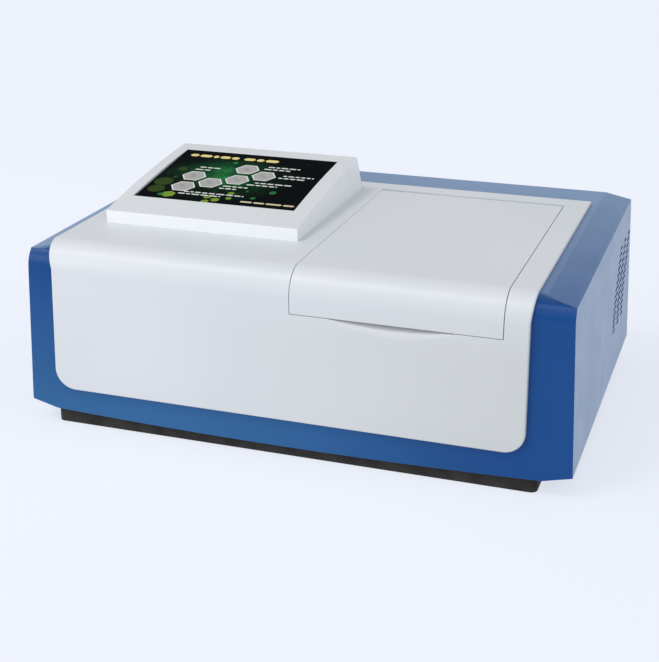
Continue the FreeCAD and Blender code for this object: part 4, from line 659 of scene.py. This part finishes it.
TRACERY_STROKES = 16
TRACERY_AREA = (0.1, 0.9)
TRACERY_LONG = (8, 22)
TRACERY_WIDE = 0.25 * MM
TRACERY_MARGIN = 2 * MM


def kept_inside(value, length):
    """Place along one side of the screen, held clear of its ends."""
    return min(max(value, TRACERY_MARGIN), length - TRACERY_MARGIN)


def make_tracery(rng):
    """Faint straight strokes at chance places."""
    strokes = Sheet("screen_tracery", TRACERY_LIFT, glowing("tracery_green", linear(24, 74, 44), 0.8))
    for _ in range(TRACERY_STROKES):
        u, v = on_glass(rng.uniform(*TRACERY_AREA), rng.uniform(*TRACERY_AREA))
        turn, long = rng.uniform(0, math.pi), rng.uniform(*TRACERY_LONG) * MM
        end = (kept_inside(u + long * math.cos(turn), SCREEN.width),
               kept_inside(v + long * math.sin(turn), SCREEN.height))
        strokes.line((u, v), end, TRACERY_WIDE)
    strokes.finish()


def make_buttons():
    """Six hexagon buttons, each with a white rim, a grey face and three short strokes."""
    rims = Sheet("button_rims", PRINT_LIFT, glowing("button_white", linear(240, 240, 240), 0.9))
    faces = Sheet("button_faces", FACE_LIFT, glowing("button_grey", linear(188, 188, 188), 0.75))
    signs = Sheet("button_signs", SIGN_LIFT, glowing("button_sign", linear(140, 140, 142), 0.7))
    for number, (u, v) in enumerate(BUTTONS):
        x, y = on_glass(u, v)
        rims.disc(x, y, BUTTON_RADIUS, HEXAGON)
        faces.disc(x, y, BUTTON_RADIUS * BUTTON_FACE_SHARE, HEXAGON)
        for step in range(SIGN_STROKES):
            start = x + SIGN_START + step * SIGN_STEP_RIGHT
            long = (SIGN_LONG - (number + step) % SIGN_STROKES) * MM
            signs.bar(start, y + (1 - step) * SIGN_STEP_DOWN, long, SIGN_TALL)
    rims.finish()
    faces.finish()
    signs.finish()


def bars_in_row(sheet, x, y, lengths, tall, gap):
    """Row of bars with equal gaps, lengths in mm; returns where the next bar would start."""
    for long in lengths:
        sheet.bar(x, y, long * MM, tall)
        x += (long + gap) * MM
    return x


def make_title():
    """Two groups of gold bars along the top."""
    title = Sheet("screen_title", PRINT_LIFT, glowing("title_gold", linear(232, 214, 142), 0.9))
    tall, gap, group_gap = 6.4 * MM, 1.6, 4 * MM
    x, y = on_glass(0.06, 0.105)
    x = bars_in_row(title, x, y, (9, 13, 6, 11, 8), tall, gap) + group_gap
    bars_in_row(title, x, y, (12, 8, 14), tall, gap)
    title.finish()


LABELS = [(0.20, 0.335, 22), (0.185, 0.385, 17), (0.615, 0.225, 34), (0.60, 0.27, 28), (0.755, 0.375, 32),
          (0.735, 0.42, 30), (0.625, 0.55, 38), (0.585, 0.595, 32), (0.455, 0.66, 26), (0.445, 0.705, 18),
          (0.26, 0.82, 62), (0.235, 0.86, 44)]
SHORTEST_WORD = 2 * MM
WORD_LONG = (4, 9)
WORD_TALL = 2.4 * MM
WORD_GAP = 1.1 * MM


def make_labels(rng):
    """Two rows of word-like bars beside each button; each row gives its place and its length in mm."""
    labels = Sheet("screen_labels", PRINT_LIFT, glowing("label_white", linear(225, 230, 226), 0.85))
    for u, v, long in LABELS:
        x, y = on_glass(u, v)
        spare = long * MM
        while spare > SHORTEST_WORD:
            word = min(rng.uniform(*WORD_LONG) * MM, spare)
            labels.bar(x, y, word, WORD_TALL)
            x += word + WORD_GAP
            spare -= word + WORD_GAP
    labels.finish()


def make_foot_line():
    foot = Sheet("screen_foot_line", PRINT_LIFT, glowing("foot_cream", linear(226, 214, 178), 0.8))
    bars_in_row(foot, *on_glass(0.645, 0.912), (12, 11, 16, 11), 3.2 * MM, 1.4)
    foot.finish()


def make_screen():
    """Dark picture with soft spots, hexagon buttons, title, label bars and a foot line."""
    rng = random.Random(7)
    make_picture()
    make_spots("olive", OLIVE_LIFT, linear(52, 74, 30), 40, 0.0, OLIVE_SPOTS)
    make_spots("leaf", SPOT_LIFT, linear(124, 160, 58), HEXAGON, math.pi / HEXAGON, LEAF_SPOTS)
    make_spots("green", SPOT_LIFT, linear(44, 120, 62), 28, 0.0, GREEN_SPOTS)
    make_tracery(rng)
    make_buttons()
    make_title()
    make_labels(rng)
    make_foot_line()


# ---------------------------------------------------------------- floor, light and camera

FLOOR_REACH = 40.0
ROOM_STRENGTH = 0.62


def make_floor():
    """Plain pale floor that gives off some light of its own, so that shadows stay faint."""
    shader = Shader("pale_floor", linear(124, 126, 131), 0.9, Specular_IOR_Level=0.0, Emission_Strength=0.78)
    shader.set(shader.bsdf, "Emission Color", linear(238, 242, 251))
    vary(shader, linear(123, 125, 130), linear(125, 127, 132), 1.5)
    mesh = bpy.data.meshes.new("floor")
    signs = ((-1, -1), (1, -1), (1, 1), (-1, 1))
    mesh.from_pydata([(x * FLOOR_REACH, y * FLOOR_REACH, 0) for x, y in signs], [], [(0, 1, 2, 3)])
    mesh.materials.append(shader.material)
    floor = bpy.data.objects.new("floor", mesh)
    bpy.context.scene.collection.objects.link(floor)


def make_world():
    """Even pale room."""
    world = bpy.data.worlds.new("pale_room")
    bpy.context.scene.world = world
    world.use_nodes = True
    background = world.node_tree.nodes["Background"]
    background.inputs["Color"].default_value = linear(240, 244, 250)
    background.inputs["Strength"].default_value = ROOM_STRENGTH


def soft_sun(name, azimuth, elevation, strength, spread):
    """Large distant light; azimuth is measured from the front towards the right."""
    data = bpy.data.lights.new(name, "SUN")
    data.energy = strength
    data.angle = math.radians(spread)
    light = bpy.data.objects.new(name, data)
    turn, rise = math.radians(azimuth), math.radians(elevation)
    towards = Vector((math.sin(turn) * math.cos(rise), -math.cos(turn) * math.cos(rise), math.sin(rise)))
    light.rotation_euler = (-towards).to_track_quat("-Z", "Y").to_euler()
    bpy.context.scene.collection.objects.link(light)


def soft_box(name, place, target, side, power):
    """Square area light that faces a target."""
    data = bpy.data.lights.new(name, "AREA")
    data.shape = "SQUARE"
    data.size = side
    data.energy = power
    light = bpy.data.objects.new(name, data)
    light.location = place
    light.rotation_euler = (Vector(target) - Vector(place)).to_track_quat("-Z", "Y").to_euler()
    bpy.context.scene.collection.objects.link(light)


def make_lights():
    """Broad light from the front left, a softer one from the right, and an even fill from the room."""
    soft_sun("key_softbox", -24, 56, 0.45, 60)
    soft_sun("edge_softbox", -42, 58, 0.65, 16)
    soft_sun("side_softbox", 72, 34, 0.30, 60)
    soft_box("front_left_softbox", (-1.2, -1.25, 0.6), (-0.2, -0.1, 0.1), 0.8, 6)


CAMERA = {"azimuth": 18.92, "elevation": 19.60, "roll": -0.02, "place": (0.3917, -1.1934, 0.5469),
          "lens": 74.1426, "sensor": 36, "shift_y": -0.06, "clip": (0.01, 100)}


def make_camera():
    """Camera at the front right, above the object and turned down to it; angles in degrees, place in metres."""
    azimuth, elevation, roll = (math.radians(CAMERA[key]) for key in ("azimuth", "elevation", "roll"))
    back = Vector((math.sin(azimuth) * math.cos(elevation), -math.cos(azimuth) * math.cos(elevation),
                   math.sin(elevation)))
    level = Vector((math.cos(azimuth), math.sin(azimuth), 0))
    upward = back.cross(level)
    right = level * math.cos(roll) + upward * math.sin(roll)
    above = upward * math.cos(roll) - level * math.sin(roll)
    data = bpy.data.cameras.new("camera")
    data.sensor_fit = "AUTO"
    data.sensor_width = CAMERA["sensor"]
    data.lens = CAMERA["lens"]
    data.shift_y = CAMERA["shift_y"]
    data.clip_start, data.clip_end = CAMERA["clip"]
    camera = bpy.data.objects.new("camera", data)
    turn = Matrix((right, above, back)).transposed().to_4x4()
    camera.matrix_world = Matrix.Translation(Vector(CAMERA["place"])) @ turn
    bpy.context.scene.collection.objects.link(camera)
    bpy.context.scene.camera = camera


def colour_management():
    view = bpy.context.scene.view_settings
    view.view_transform = "Standard"
    view.look = "None"
    view.exposure = 0
    view.gamma = 1


def finish_nodes():
    """Give every carried-over node the material of its slot."""
    for node, item in frame["nodes"].items():
        item.data.materials.clear()
        item.data.materials.append(MATERIALS[SLOT_OF[node]])


finish_nodes()
make_shells()
make_screen()
make_floor()
make_world()
make_lights()
make_camera()
colour_management()
